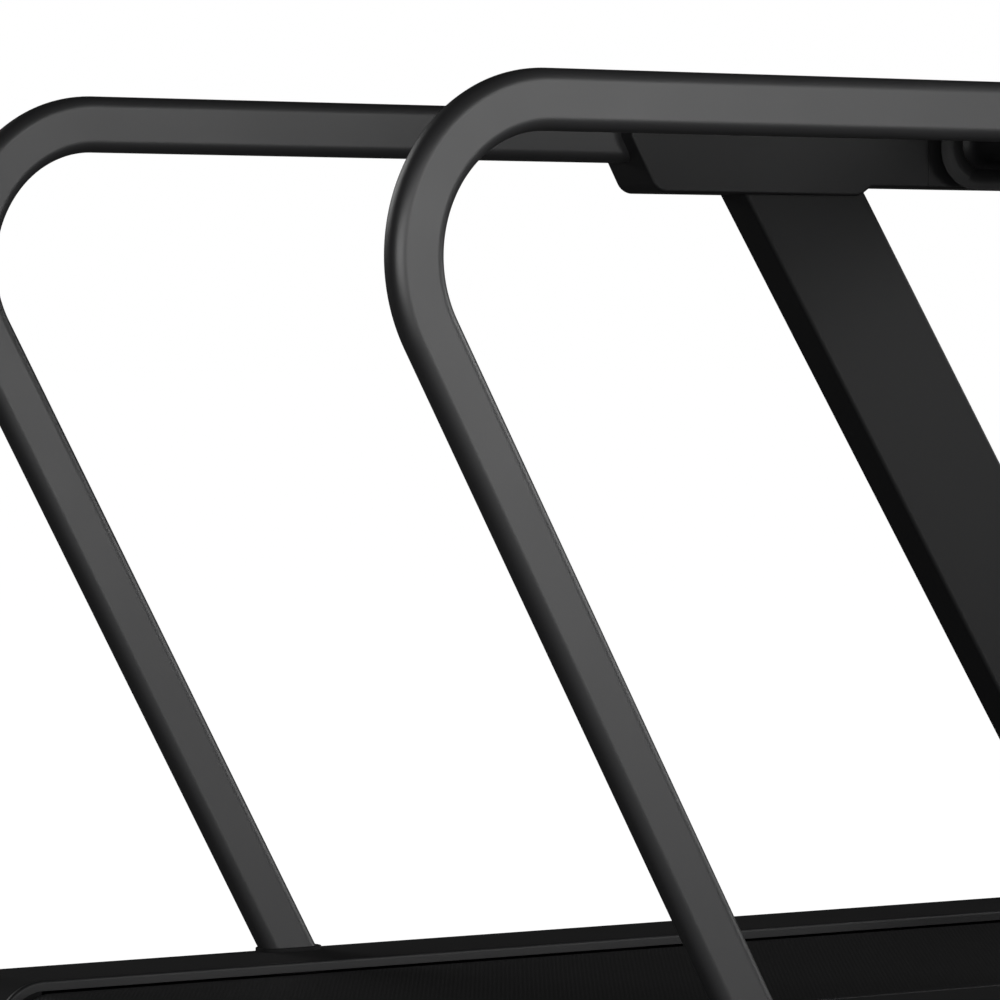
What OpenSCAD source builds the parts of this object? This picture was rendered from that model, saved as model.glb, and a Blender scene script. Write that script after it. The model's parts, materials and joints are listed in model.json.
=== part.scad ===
// Motorised treadmill with full-length handrails.
// +X runs forward to the console, +Y is to the left and +Z is up.
// The origin is on the floor, under the middle of the machine. All sizes are in millimetres.

/* [Overall] */
// Length from the rear edge beads to the front of the nose
total_l = 2100; // [1900:10:2600]
// Height of the side platforms above the floor
deck_h = 220; // [205:1:265]

/* [Handrails] */
// Height of the rail's top above the side platforms
rail_top = 928; // [760:1:1120]
// Height of the tube in the plane of the rail
tube_h = 60; // [45:1:72]
// Width of the tube across the rail
tube_w = 30; // [24:1:36]
// Corner radius of the tube
tube_r = 13.5; // [4:0.5:14.5]
// Wall of the tube
tube_wall = 2.5; // [1.5:0.1:4]
// Radius of the rear bend at the tube's centre line
bend_r = 150; // [110:1:200]
// Lean of the leg from the vertical
leg_lean = 29.4; // [20:0.1:36]
// Distance from the rear end to the centre of the bend
bend_setback = 193; // [150:1:240]
// Rim of the collar round the foot of the leg, and the collar's thickness
collar_rim = 4.3; // [3:0.1:8]
collar_t = 4; // [2:0.5:8]

/* [Masts] */
// Depth of the mast across its lean
mast_w = 150; // [110:1:180]
// Thickness of the mast from side to side
mast_t = 50; // [36:1:56]
// Corner radius of the mast
mast_r = 5; // [2:0.5:10]
// Wall of the mast
mast_wall = 3; // [2:0.1:5]
// Lean of the mast from the vertical
mast_lean = 33; // [20:0.5:38]
// Distance from the front end to the mast's centre at platform height
mast_setback = 418; // [380:1:460]

/* [Running belt] */
// Width of the running belt
belt_w = 560; // [440:1:672]
// Thickness of the running belt
belt_t = 2.5; // [1.5:0.1:4]
// Depth of the belt's surface below the side platforms
belt_drop = 10.5; // [8:0.5:16]
// Radius of the rollers
roller_r = 40; // [30:1:44]
// Distance from the front end to the front roller's axis
roller_setback = 407; // [380:1:430]
// Thickness of the deck board
board_t = 25; // [18:0.5:30]

/* [Side platforms] */
// Gap between the running belt and the edge bead
belt_margin = 12; // [8:0.5:20]
// Width and height of the edge bead
bead_w = 8; // [6:0.5:12]
bead_h = 10.5; // [9:0.5:14]
// Height of the bead above the platform
bead_up = 1.5; // [0.5:0.5:3]
// Width of the side platform outside its edge bead
platform_w = 140; // [136:1:200]
// Distance from the handrail's centre plane to the platform's outer face
platform_out = 22; // [20:0.5:26]
// Rounding of the platform's outer edge
platform_r = 10; // [4:0.5:12]
// Thickness of the platform's tread and of its skirt
tread_t = 6; // [4:0.5:8]
skirt_t = 3; // [2:0.5:4]
// Height of the skirt's lower edge above the floor
skirt_z = 96; // [90:1:120]
// Radius of the rounded rear end
cap_r = 56.5; // [48:0.5:60]

/* [Frame] */
// Height and width of the side rails
frame_h = 120; // [100:1:124]
frame_w = 50; // [40:1:60]
// Wall of the side rails
frame_wall = 3; // [2:0.1:5]
// Gap between the belt's edge and the side rail
frame_gap = 32; // [28:1:40]
// Length and height of the crossmembers
cross_l = 50; // [30:1:60]
cross_h = 35; // [25:1:38]

/* [Drive] */
// Radius of the roller's drive pulley
drive_r = 60; // [48:1:66]
// Radius of the motor's pulley
pinion_r = 24; // [18:1:30]
// Width of both pulleys
pulley_w = 18; // [14:1:20]
// Radius of the motor's body
motor_r = 65; // [50:1:70]
// Length of the motor's body
motor_l = 220; // [160:1:240]
// Radius of the flywheel
flywheel_r = 75; // [60:1:78]
// Radius of the shafts of the front roller and of the motor
roller_shaft_r = 10; // [8:0.5:12]
motor_shaft_r = 8.5; // [6:0.5:10]

/* [Lift] */
// Radius of the transport wheels
wheel_r = 38; // [30:1:38]
// Width of the transport wheels
wheel_w = 30; // [20:1:34]
// Distance from the pivot to the actuator's pin
horn_r = 55; // [45:1:58]
// Turn of the lift frame from its lowest to its highest setting
lift_turn = 55; // [30:1:55]
// Radius of the actuator's tube
actuator_r = 14; // [10:0.5:16]

/* [Console] */
// Distance from each arm to the console's housing, with a cup holder between
console_side = 122; // [112:1:150]
// Height of the console's housing
console_h = 380; // [350:5:460]
// Depth of the console's rear shell
console_d = 70; // [50:1:80]
// Lean of the console away from the user
console_lean = 20; // [10:1:30]
// Margin of the console's face to each side of the display
display_margin = 50; // [40:1:90]
// Height of the display
display_h = 205; // [170:5:220]
// Width of the bracket covers from side to side
bracket_w = 72; // [68:1:90]
// Travel of the start and stop keys
key_travel = 2; // [1:0.5:4]

/* [Clearances] */
// Running clearance of every shaft in its bore
run_gap = 0.05; // [0.01:0.01:0.1]
// Gap between pieces that move past each other
slip_gap = 0.5; // [0.3:0.1:1]
// Gap around a tube that passes through a cover
pass_gap = 1; // [0.5:0.1:2]
// Wall of the moulded covers
cover_t = 3; // [2:0.5:4]

/* [Hidden] */
$fn = 64;

// Ends of the machine
rear_x = -total_l / 2;
front_x = total_l / 2;

// Running surface
axle_x = rear_x + cap_r + bead_up;
cap_z = deck_h - cap_r;
belt_gap = 0.3;
belt_top = deck_h - belt_drop;
roller_z = belt_top - belt_t - belt_gap - roller_r;
front_roller_x = front_x - roller_setback;
board_top = belt_top - belt_t - belt_gap;
board_bottom = board_top - board_t;
board_start = 62;
board_x0 = axle_x + board_start;
board_x1 = front_roller_x - board_start - 11;
axle_r = 8.5;

// Side platforms and frame
bead_y = belt_w / 2 + belt_margin;
tread_y = bead_y + bead_w;
platform_y = tread_y + platform_w;
platform_x1 = front_x - mast_setback - mast_w / 2 / cos(mast_lean) - 8;
frame_y = belt_w / 2 + frame_gap;
frame_y1 = frame_y + frame_w;
frame_top = deck_h - 20;
frame_bottom = frame_top - frame_h;
frame_x0 = axle_x - 28;
frame_x1 = front_x - 50;
cushion_t = 16;
cross_top = board_bottom - cushion_t;
cross_count = 3;
cross_step = (board_x1 - board_x0 - 360) / (cross_count - 1);

// Handrails
rail_y = platform_y - platform_out;
rail_z = deck_h + rail_top - tube_h / 2;
bend_x = rear_x + bend_setback;
bend_z = rail_z - bend_r;
bend_sweep = 90 + leg_lean;
leg_end_z = deck_h - 90;
seat_l = 2;
seat_gap = 0.15;
collar_l = tube_h / cos(leg_lean) + 2 * collar_rim;
collar_w = tube_w + 2 * collar_rim;
leg_l = (bend_z - bend_r * sin(leg_lean) - leg_end_z) / cos(leg_lean);
collar_x = bend_x - bend_r * cos(leg_lean)
  + (bend_z - bend_r * sin(leg_lean) - deck_h) * tan(leg_lean);

// Masts
mast_x = front_x - mast_setback;
mast_top_z = rail_z - tube_h / 2;
mast_bottom_z = deck_h - 122;
mast_long = 2 * (rail_top / cos(mast_lean) + mast_w);

// Bracket covers, console arms and crossbar
bracket_z = mast_top_z - 33.5;
bracket_top = rail_z + tube_h / 2 + 18;
mast_top_x = mast_x - (bracket_z - deck_h) * tan(mast_lean);
bracket_x0 = mast_top_x - 227;
arm_z = bracket_z + 10.5;
step_x = mast_top_x + mast_w / 2 / cos(mast_lean) - 16;
seam_x = step_x + 98;
crossbar_x = seam_x + 57;
crossbar_d = 60;
crossbar_z0 = bracket_z + 43.5;
crossbar_z1 = rail_z + tube_h / 2 + 2;
crossbar_r = 20;
fillet_r = 20;
arm_x1 = crossbar_x + 185;
arm_y0 = rail_y - bracket_w / 2;
arm_y1 = rail_y + bracket_w / 2;

// Console
base_x0 = crossbar_x + crossbar_d + 2;
base_x1 = arm_x1 - 3;
base_z0 = bracket_z + 35.5;
base_z1 = bracket_top - 6;
base_r = 15;
console_w = 2 * (arm_y0 - console_side);
console_x = base_x0 + 50;
console_z = base_z1 + console_d * sin(console_lean) + 4;
face_t = 12;
console_r = 40;
display_w = console_w - 2 * display_margin;
display_z = 140;
display_r = 10;
lens_t = 3;
cup_r = 40;
cup_wall = 3;
cup_depth = 85;
cup_y = arm_y0 - cup_r - 10;
cup_x = (base_x0 + base_x1) / 2;
key_w = 60;
key_h = 30;
key_z = 60;
key_out = 5;
rocker_w = 26;
rocker_h = 54;
rocker_y = console_w / 2 - 45;
key_y = round(0.42 * rocker_y);
rocker_r = 9;
ledge_z = 112;
ledge_y = console_w / 2 - 90;

// Drive and lift
hood_x0 = platform_x1 + 1;
hood_x1 = front_x - 3;
hood_y = frame_y1;
motor_x = front_x - 200;
motor_z = deck_h - 5;
motor_y0 = -55;
pulley_y = belt_w / 2 + 5;
lift_x = front_x - 315;
lift_z = deck_h - 125;
lift_tube_r = 20;
wheel_x = front_x - 50;
arm_t = 16;
wheel_y = frame_y - 4 - arm_t - 4 - wheel_w;
wheel_axle_r = 8;
lift_pin_r = 10;
actuator_y = -200;
half_turn = lift_turn / 2;
pin_x = lift_x - horn_r * sin(half_turn);
pin_z = lift_z + horn_r * cos(half_turn);
actuator_z = lift_z + horn_r * (1 + cos(half_turn)) / 2;
horn_pin_r = 5;
gearbox_x = front_x - 150;
mount_x0 = motor_x - 30;
mount_z = lift_z;
foot_x = axle_x + 92;
foot_y = frame_y + frame_w / 2;
stud_r = 6;

charcoal = [0.20, 0.20, 0.21];
blackish = [0.08, 0.08, 0.085];
rubber_black = [0.05, 0.05, 0.05];
steel = [0.62, 0.62, 0.64];

// ---------------------------------------------------------------- helpers

module both_sides() {
  children();
  mirror([0, 1, 0]) children();
}

// A profile drawn in X and Z, extruded from y0 by w towards +Y
module along_y(y0, w) {
  translate([0, y0 + w, 0]) rotate([90, 0, 0]) linear_extrude(w) children();
}

// A profile drawn in Y and Z, extruded from x0 by l towards +X
module along_x(x0, l) {
  translate([x0, 0, 0]) rotate([90, 0, 90]) linear_extrude(l) children();
}

module rod_y(x, z, r, y0, l) {
  translate([x, y0 + l, z]) rotate([90, 0, 0]) cylinder(r = r, h = l);
}

module rod_x(y, z, r, x0, l) {
  translate([x0, y, z]) rotate([0, 90, 0]) cylinder(r = r, h = l);
}

module block(lo, hi) {
  translate(lo) cube(hi - lo);
}

// A rectangle with round corners, centred
module soft_rect(w, h, r) {
  square([w, h - 2 * r], center = true);
  square([w - 2 * r, h], center = true);
  for (i = [-1, 1], j = [-1, 1]) translate([i * (w / 2 - r), j * (h / 2 - r)]) circle(r);
}

// Half a band's turn round a pulley about Y, of inner radius r, thickness t and width w, from y0. At turn 0 it
// lies to the rear
module half_turn_band(x, z, r, t, y0, w, turn = 0, sweep = 180) {
  translate([x, y0 + w, z]) rotate([90, 0, 0]) rotate([0, 0, 90 + turn])
    rotate_extrude(angle = sweep) translate([r, 0]) square([t, w]);
}

// A straight slot with round ends between two points
module slot_between(a, b, r) {
  d = b - a;
  n = [-d[1], d[0]] * r / norm(d);
  translate(a) circle(r);
  translate(b) circle(r);
  polygon([a + n, b + n, b - n, a - n]);
}

// ---------------------------------------------------------------- handrails

module tube_section(grow) {
  soft_rect(tube_h + 2 * grow, tube_w + 2 * grow, tube_r + grow);
}

// The tube's wall in section. A thinned wall seats inside the full one where two lengths are joined
module tube_ring(thin = 0) {
  difference() {
    tube_section(-thin);
    tube_section(thin - tube_wall);
  }
}

// Turns children to the end of the bend, with +Y along the leg
module at_leg() {
  translate([bend_x, rail_y, bend_z]) rotate([90, 0, 0]) rotate([0, 0, 90 + bend_sweep])
    translate([bend_r, 0, 0]) rotate([-90, 0, 0]) children();
}

module leg_solid(grow) {
  at_leg() linear_extrude(leg_l + 10) tube_section(grow);
}

module handrail() {
  translate([bend_x, rail_y, rail_z]) rotate([90, 0, 90])
    linear_extrude(arm_x1 - 60 - bend_x) rotate(90) tube_ring();
  translate([bend_x, rail_y, bend_z]) rotate([90, 0, 0]) rotate([0, 0, 90])
    rotate_extrude(angle = bend_sweep) translate([bend_r, 0]) tube_ring();
  at_leg() translate([0, 0, -seat_l]) linear_extrude(leg_l + seat_l) tube_ring(seat_gap);
}

module handrail_left() {
  color(charcoal) handrail();
}

module handrail_right() {
  color(charcoal) mirror([0, 1, 0]) handrail();
}

module leg_collars() {
  color(blackish) both_sides() difference() {
    translate([collar_x, rail_y, deck_h]) linear_extrude(collar_t)
      soft_rect(collar_l, collar_w, collar_w / 2 - 1);
    leg_solid(0.3);
  }
}

// ---------------------------------------------------------------- masts

module mast_solid(grow) {
  translate([mast_x, rail_y, deck_h]) rotate([0, -mast_lean, 0]) translate([0, 0, -mast_long / 2])
    linear_extrude(mast_long) soft_rect(mast_w + 2 * grow, mast_t + 2 * grow, mast_r + grow);
}

module mast_slab(z0, z1) {
  block([mast_x - mast_long / 2, arm_y0 - 60, z0], [mast_x + mast_long / 2, arm_y1 + 60, z1]);
}

mast_plate_x0 = lift_x - 45;
mast_plate_x1 = lift_x + 55;
mast_plate_z0 = mast_bottom_z + 2;
mast_plate_z1 = mast_bottom_z + 87;
mast_plate_t = 8;
mast_bolt_r = 6;
mast_bolts = [for (i = [0, 1], j = [0, 1]) [
  mast_plate_x0 + 18 + i * (mast_plate_x1 - mast_plate_x0 - 36),
  mast_plate_z0 + 22 + j * (mast_plate_z1 - mast_plate_z0 - 44)
]];

module mast() {
  mast_y0 = rail_y - mast_t / 2;
  difference() {
    intersection() {
      mast_solid(0);
      mast_slab(mast_bottom_z, mast_top_z);
    }
    mast_solid(-mast_wall);
  }
  difference() {
    block([mast_plate_x0, frame_y1, mast_plate_z0], [mast_plate_x1, frame_y1 + mast_plate_t, mast_plate_z1]);
    for (b = mast_bolts) rod_y(b[0], b[1], mast_bolt_r + 0.25, frame_y1 - 1, mast_plate_t + 2);
  }
  block([mast_plate_x0, frame_y1 + 1, mast_plate_z0], [mast_plate_x1, mast_y0 + 2, mast_plate_z0 + 8]);
  block([mast_plate_x0, frame_y1 + 1, mast_plate_z1 - 8], [mast_plate_x0 + 50, mast_y0 + 2, mast_plate_z1]);
}

module mast_left() {
  color(blackish) mast();
}

module mast_right() {
  color(blackish) mirror([0, 1, 0]) mast();
}

module frame_bolts() {
  color(steel) both_sides() for (b = mast_bolts) {
    rod_y(b[0], b[1], mast_bolt_r, frame_y1 - 14, mast_plate_t + 14);
    translate([b[0], frame_y1 + mast_plate_t + 7, b[1]]) rotate([90, 0, 0]) cylinder(r = 10, h = 7, $fn = 6);
  }
}

// ---------------------------------------------------------------- frame

socket_wall = 3;
socket_z0 = leg_end_z - 12;
socket_z1 = deck_h - tread_t - 6;
socket_x0 = collar_x - 6;

module socket() {
  difference() {
    intersection() {
      leg_solid(slip_gap + socket_wall);
      block([rear_x, frame_y1, socket_z0], [0, platform_y - skirt_t - 0.4, socket_z1]);
    }
    leg_solid(slip_gap);
  }
  for (z = [socket_z0, (socket_z0 + socket_z1) / 2]) difference() {
    block([socket_x0, frame_y1 - 1, z], [socket_x0 + 64, rail_y, z + 6]);
    leg_solid(slip_gap + 1);
  }
}

module side_rail() {
  difference() {
    block([frame_x0, frame_y, frame_bottom], [frame_x1, frame_y1, frame_top]);
    block([frame_x0 + 6, frame_y + frame_wall, frame_bottom + frame_wall],
      [frame_x1 + 1, frame_y1 - frame_wall, frame_top - frame_wall]);
    rod_y(axle_x, roller_z, axle_r + slip_gap, frame_y - 1, frame_w + 2);
    rod_y(front_roller_x, roller_z, roller_shaft_r + 4, frame_y - 1, frame_w + 2);
    rod_y(lift_x, lift_z, lift_pin_r + run_gap, frame_y - 1, frame_w + 2);
    rod_x(foot_y, roller_z, 4.3, frame_x0 - 1, 10);
    translate([foot_x, foot_y, frame_bottom - 1]) cylinder(r = stud_r + run_gap, h = frame_wall + 2);
    for (b = mast_bolts) rod_y(b[0], b[1], mast_bolt_r + 0.25, frame_y1 - 5, 6);
  }
  translate([foot_x, foot_y, frame_bottom - 10]) difference() {
    cylinder(r = 12, h = 10.5, $fn = 6);
    translate([0, 0, -1]) cylinder(r = stud_r + run_gap, h = 13);
  }
}

module side_rails() {
  color(blackish) both_sides() {
    side_rail();
    socket();
  }
}

cross_x = [for (i = [0 : cross_count - 1]) board_x0 + 180 + i * cross_step];

module crossmembers() {
  color(blackish) {
    for (x = cross_x)
      block([x - cross_l / 2, -frame_y, cross_top - cross_h], [x + cross_l / 2, frame_y, cross_top]);
    block([mount_x0, -frame_y, mount_z], [mount_x0 + 60, frame_y, mount_z + 30]);
    block([frame_x1 - 40, -frame_y, mount_z + 35], [frame_x1, frame_y, mount_z + 75]);
  }
}

module deck_board() {
  color([0.45, 0.34, 0.24])
    block([board_x0, -tread_y, board_bottom], [board_x1, tread_y, board_top]);
}

module deck_cushions() {
  color(rubber_black) both_sides() for (x = cross_x) translate([x, belt_w / 2 - 60, cross_top])
    cylinder(r = 20, h = cushion_t);
}

// ---------------------------------------------------------------- side platforms

// The tread and skirt in section, for the left side
module platform_section() {
  ribs = [frame_y + 6, frame_y1 - 9];
  difference() {
    union() {
      translate([tread_y, skirt_z]) square([platform_y - tread_y - platform_r, deck_h - skirt_z]);
      translate([tread_y, skirt_z]) square([platform_y - tread_y, deck_h - skirt_z - platform_r]);
      translate([platform_y - platform_r, deck_h - platform_r]) circle(platform_r);
    }
    translate([tread_y - 1, skirt_z - 1])
      square([platform_y - skirt_t - tread_y + 1, deck_h - tread_t - skirt_z + 1]);
  }
  for (y = ribs) translate([y, frame_top]) square([3, deck_h - tread_t - frame_top + 1]);
}

module side_platform() {
  difference() {
    along_x(axle_x, platform_x1 - axle_x) platform_section();
    leg_solid(pass_gap);
  }
}

module side_platform_left() {
  color(blackish) side_platform();
}

module side_platform_right() {
  color(blackish) mirror([0, 1, 0]) side_platform();
}

// The bead in section. The first coordinate is Y and the second is height above the datum z
module bead_section(z) {
  r = 3;
  translate([bead_y, z + bead_up - bead_h]) square([bead_w, bead_h - r]);
  translate([bead_y + r, z + bead_up - r]) square([bead_w - 2 * r, r]);
  translate([bead_y + r, z + bead_up - r]) circle(r);
  translate([bead_y + bead_w - r, z + bead_up - r]) circle(r);
}

// A section drawn in Y and height above the cap's axis, turned down round the rear end
module round_rear() {
  translate([axle_x, 0, cap_z]) rotate([90, 0, 0]) mirror([0, 0, 1])
    rotate([0, 0, 90]) rotate_extrude(angle = 90) mirror([1, -1, 0]) children();
}

cap_drop = cap_z - skirt_z;

// The same section carried straight down from the cap's axis to the skirt's lower edge
module down_rear() {
  translate([axle_x, 0, skirt_z]) linear_extrude(cap_drop) rotate(90) children();
}

module edge_bead() {
  along_x(axle_x, hood_x0 - axle_x) {
    bead_section(deck_h);
    translate([bead_y, deck_h + bead_up - bead_h]) square([bead_w + 6, bead_h - bead_up - tread_t]);
  }
  round_rear() bead_section(cap_r);
  down_rear() bead_section(cap_r);
}

module edge_bead_left() {
  color(charcoal) edge_bead();
}

module edge_bead_right() {
  color(charcoal) mirror([0, 1, 0]) edge_bead();
}

// The end cap in section: Y and height above the cap's axis
module cap_section(inset, low) {
  y0 = tread_y + inset;
  y1 = platform_y - inset;
  top = cap_r - inset;
  r = platform_r - inset;
  translate([y0, low]) square([y1 - y0 - r, top - low]);
  translate([y0, low]) square([y1 - y0, top - low - r]);
  translate([y1 - r, top - r]) circle(r);
}

module rear_end_cap() {
  difference() {
    union() {
      round_rear() cap_section(0, 0);
      down_rear() cap_section(0, 0);
    }
    round_rear() cap_section(cover_t, 0);
    down_rear() cap_section(cover_t, 0);
    block([axle_x - cap_r + cover_t, tread_y + cover_t, skirt_z - 1],
      [axle_x + 1, platform_y - cover_t, skirt_z + 2]);
    rod_x(foot_y, roller_z, 9, rear_x - 5, 30);
    rod_y(axle_x, roller_z, axle_r + 1, tread_y - 1, 20);
  }
}

module rear_end_cap_left() {
  color(blackish) rear_end_cap();
}

module rear_end_cap_right() {
  color(blackish) mirror([0, 1, 0]) rear_end_cap();
}

// ---------------------------------------------------------------- running belt and rollers

module running_belt() {
  r = roller_r + belt_gap;
  color(rubber_black) {
    half_turn_band(axle_x, roller_z, r, belt_t, -belt_w / 2, belt_w);
    half_turn_band(front_roller_x, roller_z, r, belt_t, -belt_w / 2, belt_w, 180);
    for (z = [roller_z + r, roller_z - r - belt_t])
      block([axle_x, -belt_w / 2, z], [front_roller_x, belt_w / 2, z + belt_t]);
  }
}

module rear_axle() {
  color(steel) rod_y(axle_x, roller_z, axle_r, -frame_y1 + 4, 2 * frame_y1 - 8);
}

module tension_bolts() {
  color(steel) both_sides() {
    rod_x(foot_y, roller_z, 4, frame_x0 - 4, 23.2);
    translate([frame_x0 - 10, foot_y, roller_z]) rotate([0, 90, 0]) cylinder(r = 7, h = 6.1, $fn = 6);
  }
}

roller_half = belt_w / 2 - 6;

module rear_roller() {
  color(steel) translate([axle_x, 0, roller_z]) difference() {
    union() {
      difference() {
        rod_y(0, 0, roller_r, -roller_half, 2 * roller_half);
        rod_y(0, 0, roller_r - 4, -roller_half - 1, 2 * roller_half + 2);
      }
      for (y = [-roller_half, roller_half - 12]) rod_y(0, 0, roller_r - 3, y, 12);
    }
    rod_y(0, 0, axle_r + run_gap, -roller_half - 1, 2 * roller_half + 2);
  }
}

bearing_t = 14;

module front_roller() {
  color(steel) translate([front_roller_x, 0, roller_z]) {
    difference() {
      rod_y(0, 0, roller_r, -roller_half, 2 * roller_half);
      rod_y(0, 0, roller_r - 4, -roller_half - 1, 2 * roller_half + 2);
    }
    for (y = [-roller_half, roller_half - 12]) rod_y(0, 0, roller_r - 3, y, 12);
    rod_y(0, 0, roller_shaft_r, -frame_y1 - bearing_t + 1, 2 * (frame_y1 + bearing_t - 1));
  }
}

module flange_bearings() {
  color(steel) both_sides() translate([front_roller_x, 0, roller_z]) difference() {
    union() {
      along_y(frame_y1, 5) soft_rect(60, 60, 10);
      rod_y(0, 0, 22, frame_y1, bearing_t);
    }
    rod_y(0, 0, roller_shaft_r + run_gap, frame_y1 - 1, bearing_t + 2);
  }
}

// A pulley with two rims, drawn about the origin
module pulley(r, bore) {
  difference() {
    union() {
      rod_y(0, 0, r, 0, pulley_w);
      rod_y(0, 0, r + 2.5, 0, 1.5);
      rod_y(0, 0, r + 2.5, pulley_w - 1.5, 1.5);
    }
    rod_y(0, 0, bore, -1, pulley_w + 2);
  }
}

module roller_pulley() {
  color(blackish) translate([front_roller_x, pulley_y, roller_z]) difference() {
    pulley(drive_r, roller_shaft_r);
    for (a = [0 : 60 : 300]) rotate([0, a, 0]) rod_y(0.6 * drive_r, 0, 0.18 * drive_r, -1, pulley_w + 2);
  }
}

module motor_pulley() {
  color(steel) translate([motor_x, pulley_y, motor_z]) pulley(pinion_r, motor_shaft_r);
}

module motor_shaft() {
  color(steel) rod_y(motor_x, motor_z, motor_shaft_r, motor_y0 - 60, pulley_y + pulley_w + 2 - motor_y0 + 60);
}

module flywheel() {
  color(steel) difference() {
    rod_y(motor_x, motor_z, flywheel_r, motor_y0 - 55, 35);
    rod_y(motor_x, motor_z, motor_shaft_r, motor_y0 - 56, 37);
  }
}

module motor_body() {
  color(charcoal) difference() {
    union() {
      rod_y(motor_x, motor_z, motor_r, motor_y0, motor_l);
      rod_y(motor_x, motor_z, 24, motor_y0 - 8, motor_l + 16);
    }
    rod_y(motor_x, motor_z, motor_shaft_r + run_gap, motor_y0 - 9, motor_l + 18);
  }
}

module motor_mount() {
  color(steel) difference() {
    block([motor_x - 50, motor_y0 + 40, mount_z + 30], [motor_x + 50, motor_y0 + motor_l - 40, motor_z - 30]);
    rod_y(motor_x, motor_z, motor_r + 0.3, motor_y0, motor_l);
    block([motor_x - 40, motor_y0 + 39, mount_z + 38], [motor_x + 40, motor_y0 + motor_l - 39, motor_z - motor_r - 8]);
  }
}

// The drive belt: a turn round each pulley, and two straight runs whose ends seat inside the turns
module drive_belt() {
  t = 3;
  gap = 0.3;
  y0 = pulley_y + 2;
  w = pulley_w - 4;
  span = norm([motor_x - front_roller_x, motor_z - roller_z]);
  rise = atan2(motor_z - roller_z, motor_x - front_roller_x);
  lean = asin((drive_r - pinion_r) / span);
  run = span * cos(lean);
  color(rubber_black) {
    half_turn_band(front_roller_x, roller_z, drive_r + gap, t, y0, w, rise - lean, 180 + 2 * lean);
    half_turn_band(motor_x, motor_z, pinion_r + gap, t, y0, w, rise + 180 + lean, 180 - 2 * lean);
    for (s = [-1, 1]) translate([front_roller_x, 0, roller_z]) rotate([0, s * lean - rise, 0])
      translate([0, 0, s * (drive_r + gap + t / 2)]) block([-seat_l, y0 + seat_gap, -t / 2 + seat_gap],
        [run + seat_l, y0 + w - seat_gap, t / 2 - seat_gap]);
  }
}

module motor_controller() {
  z0 = mount_z + 80;
  x0 = motor_x + 78;
  color([0.55, 0.56, 0.58]) {
    block([x0, 20, z0], [x0 + 60, 220, z0 + 25]);
    for (i = [0 : 7]) block([x0 + 2 + i * 7.5, 25, z0 + 24], [x0 + 5 + i * 7.5, 215, z0 + 50]);
  }
  color(blackish) block([x0 + 6, 20, mount_z + 75], [x0 + 54, 220, z0 + 1]);
}

// ---------------------------------------------------------------- lift

module lift_arm() {
  along_y(frame_y - 4 - arm_t, arm_t) slot_between([lift_x, lift_z], [wheel_x, wheel_r], 15);
}

module lift_frame() {
  color(blackish) {
    rod_y(lift_x, lift_z, lift_tube_r, -frame_y + 4, 2 * frame_y - 8);
    rod_y(lift_x, lift_z, lift_pin_r, -frame_y1 + 4, 2 * frame_y1 - 8);
    both_sides() {
      lift_arm();
      rod_y(wheel_x, wheel_r, wheel_axle_r, wheel_y - 4, frame_y - wheel_y);
      rod_y(wheel_x, wheel_r, 12, wheel_y - 8, 5);
    }
    along_y(actuator_y - 6, 12) slot_between([lift_x, lift_z], [pin_x, pin_z], 12);
    rod_y(pin_x, pin_z, horn_pin_r, actuator_y - 15, 30);
  }
}

module lift_wheel() {
  difference() {
    union() {
      rod_y(wheel_x, wheel_r, wheel_r - 3, wheel_y, wheel_w);
      rod_y(wheel_x, wheel_r, wheel_r, wheel_y + 3, wheel_w - 6);
    }
    rod_y(wheel_x, wheel_r, wheel_axle_r + run_gap, wheel_y - 1, wheel_w + 2);
    for (y = [wheel_y - 1, wheel_y + wheel_w - 5]) difference() {
      rod_y(wheel_x, wheel_r, wheel_r - 10, y, 6);
      rod_y(wheel_x, wheel_r, 14, y - 1, 8);
    }
  }
}

module lift_wheel_left() {
  color(rubber_black) lift_wheel();
}

module lift_wheel_right() {
  color(rubber_black) mirror([0, 1, 0]) lift_wheel();
}

fork_drop = (actuator_z - pin_z) + horn_pin_r + 1;

module lift_tube() {
  color(steel) {
    rod_x(actuator_y, actuator_z, actuator_r, lift_x + 32, gearbox_x - 50 - lift_x - 32);
    block([lift_x + 20, actuator_y - 15, actuator_z - 14], [lift_x + 34, actuator_y + 15, actuator_z + 14]);
    for (y = [actuator_y - 12.5, actuator_y + 7.5]) along_y(y, 5) difference() {
      translate([pin_x - 16, actuator_z - 14]) square([lift_x + 34 - pin_x + 16, 28]);
      translate([pin_x, actuator_z]) square([2 * horn_pin_r + 2, 2 * fork_drop], center = true);
    }
  }
}

module lift_motor() {
  bore = actuator_r + 0.3;
  color(charcoal) {
    difference() {
      union() {
        block([gearbox_x, actuator_y - 35, mount_z + 75], [gearbox_x + 60, actuator_y + 35, actuator_z + 45]);
        block([gearbox_x, actuator_y - 35, mount_z + 33], [gearbox_x + 9, actuator_y + 35, actuator_z + 45]);
        rod_x(actuator_y, actuator_z, bore + 4, gearbox_x - 75, 80);
      }
      rod_x(actuator_y, actuator_z, bore, gearbox_x - 76, 76 + 9);
      rod_x(actuator_y, actuator_z, bore, gearbox_x - 1, 56);
    }
    rod_x(actuator_y, actuator_z + 66, 28, gearbox_x - 70, 125);
    block([gearbox_x + 5, actuator_y - 30, actuator_z + 30], [gearbox_x + 50, actuator_y + 30, actuator_z + 66]);
  }
}

module levelling_foot() {
  color(rubber_black) {
    translate([foot_x, foot_y, 0]) cylinder(r = 28, h = 8);
    translate([foot_x, foot_y, 8]) cylinder(r1 = 28, r2 = 14, h = 8);
  }
  color(steel) translate([foot_x, foot_y, 15]) cylinder(r = stud_r, h = frame_bottom + 35);
}

module levelling_foot_left() {
  levelling_foot();
}

module levelling_foot_right() {
  mirror([0, 1, 0]) levelling_foot();
}

// ---------------------------------------------------------------- covers

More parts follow.
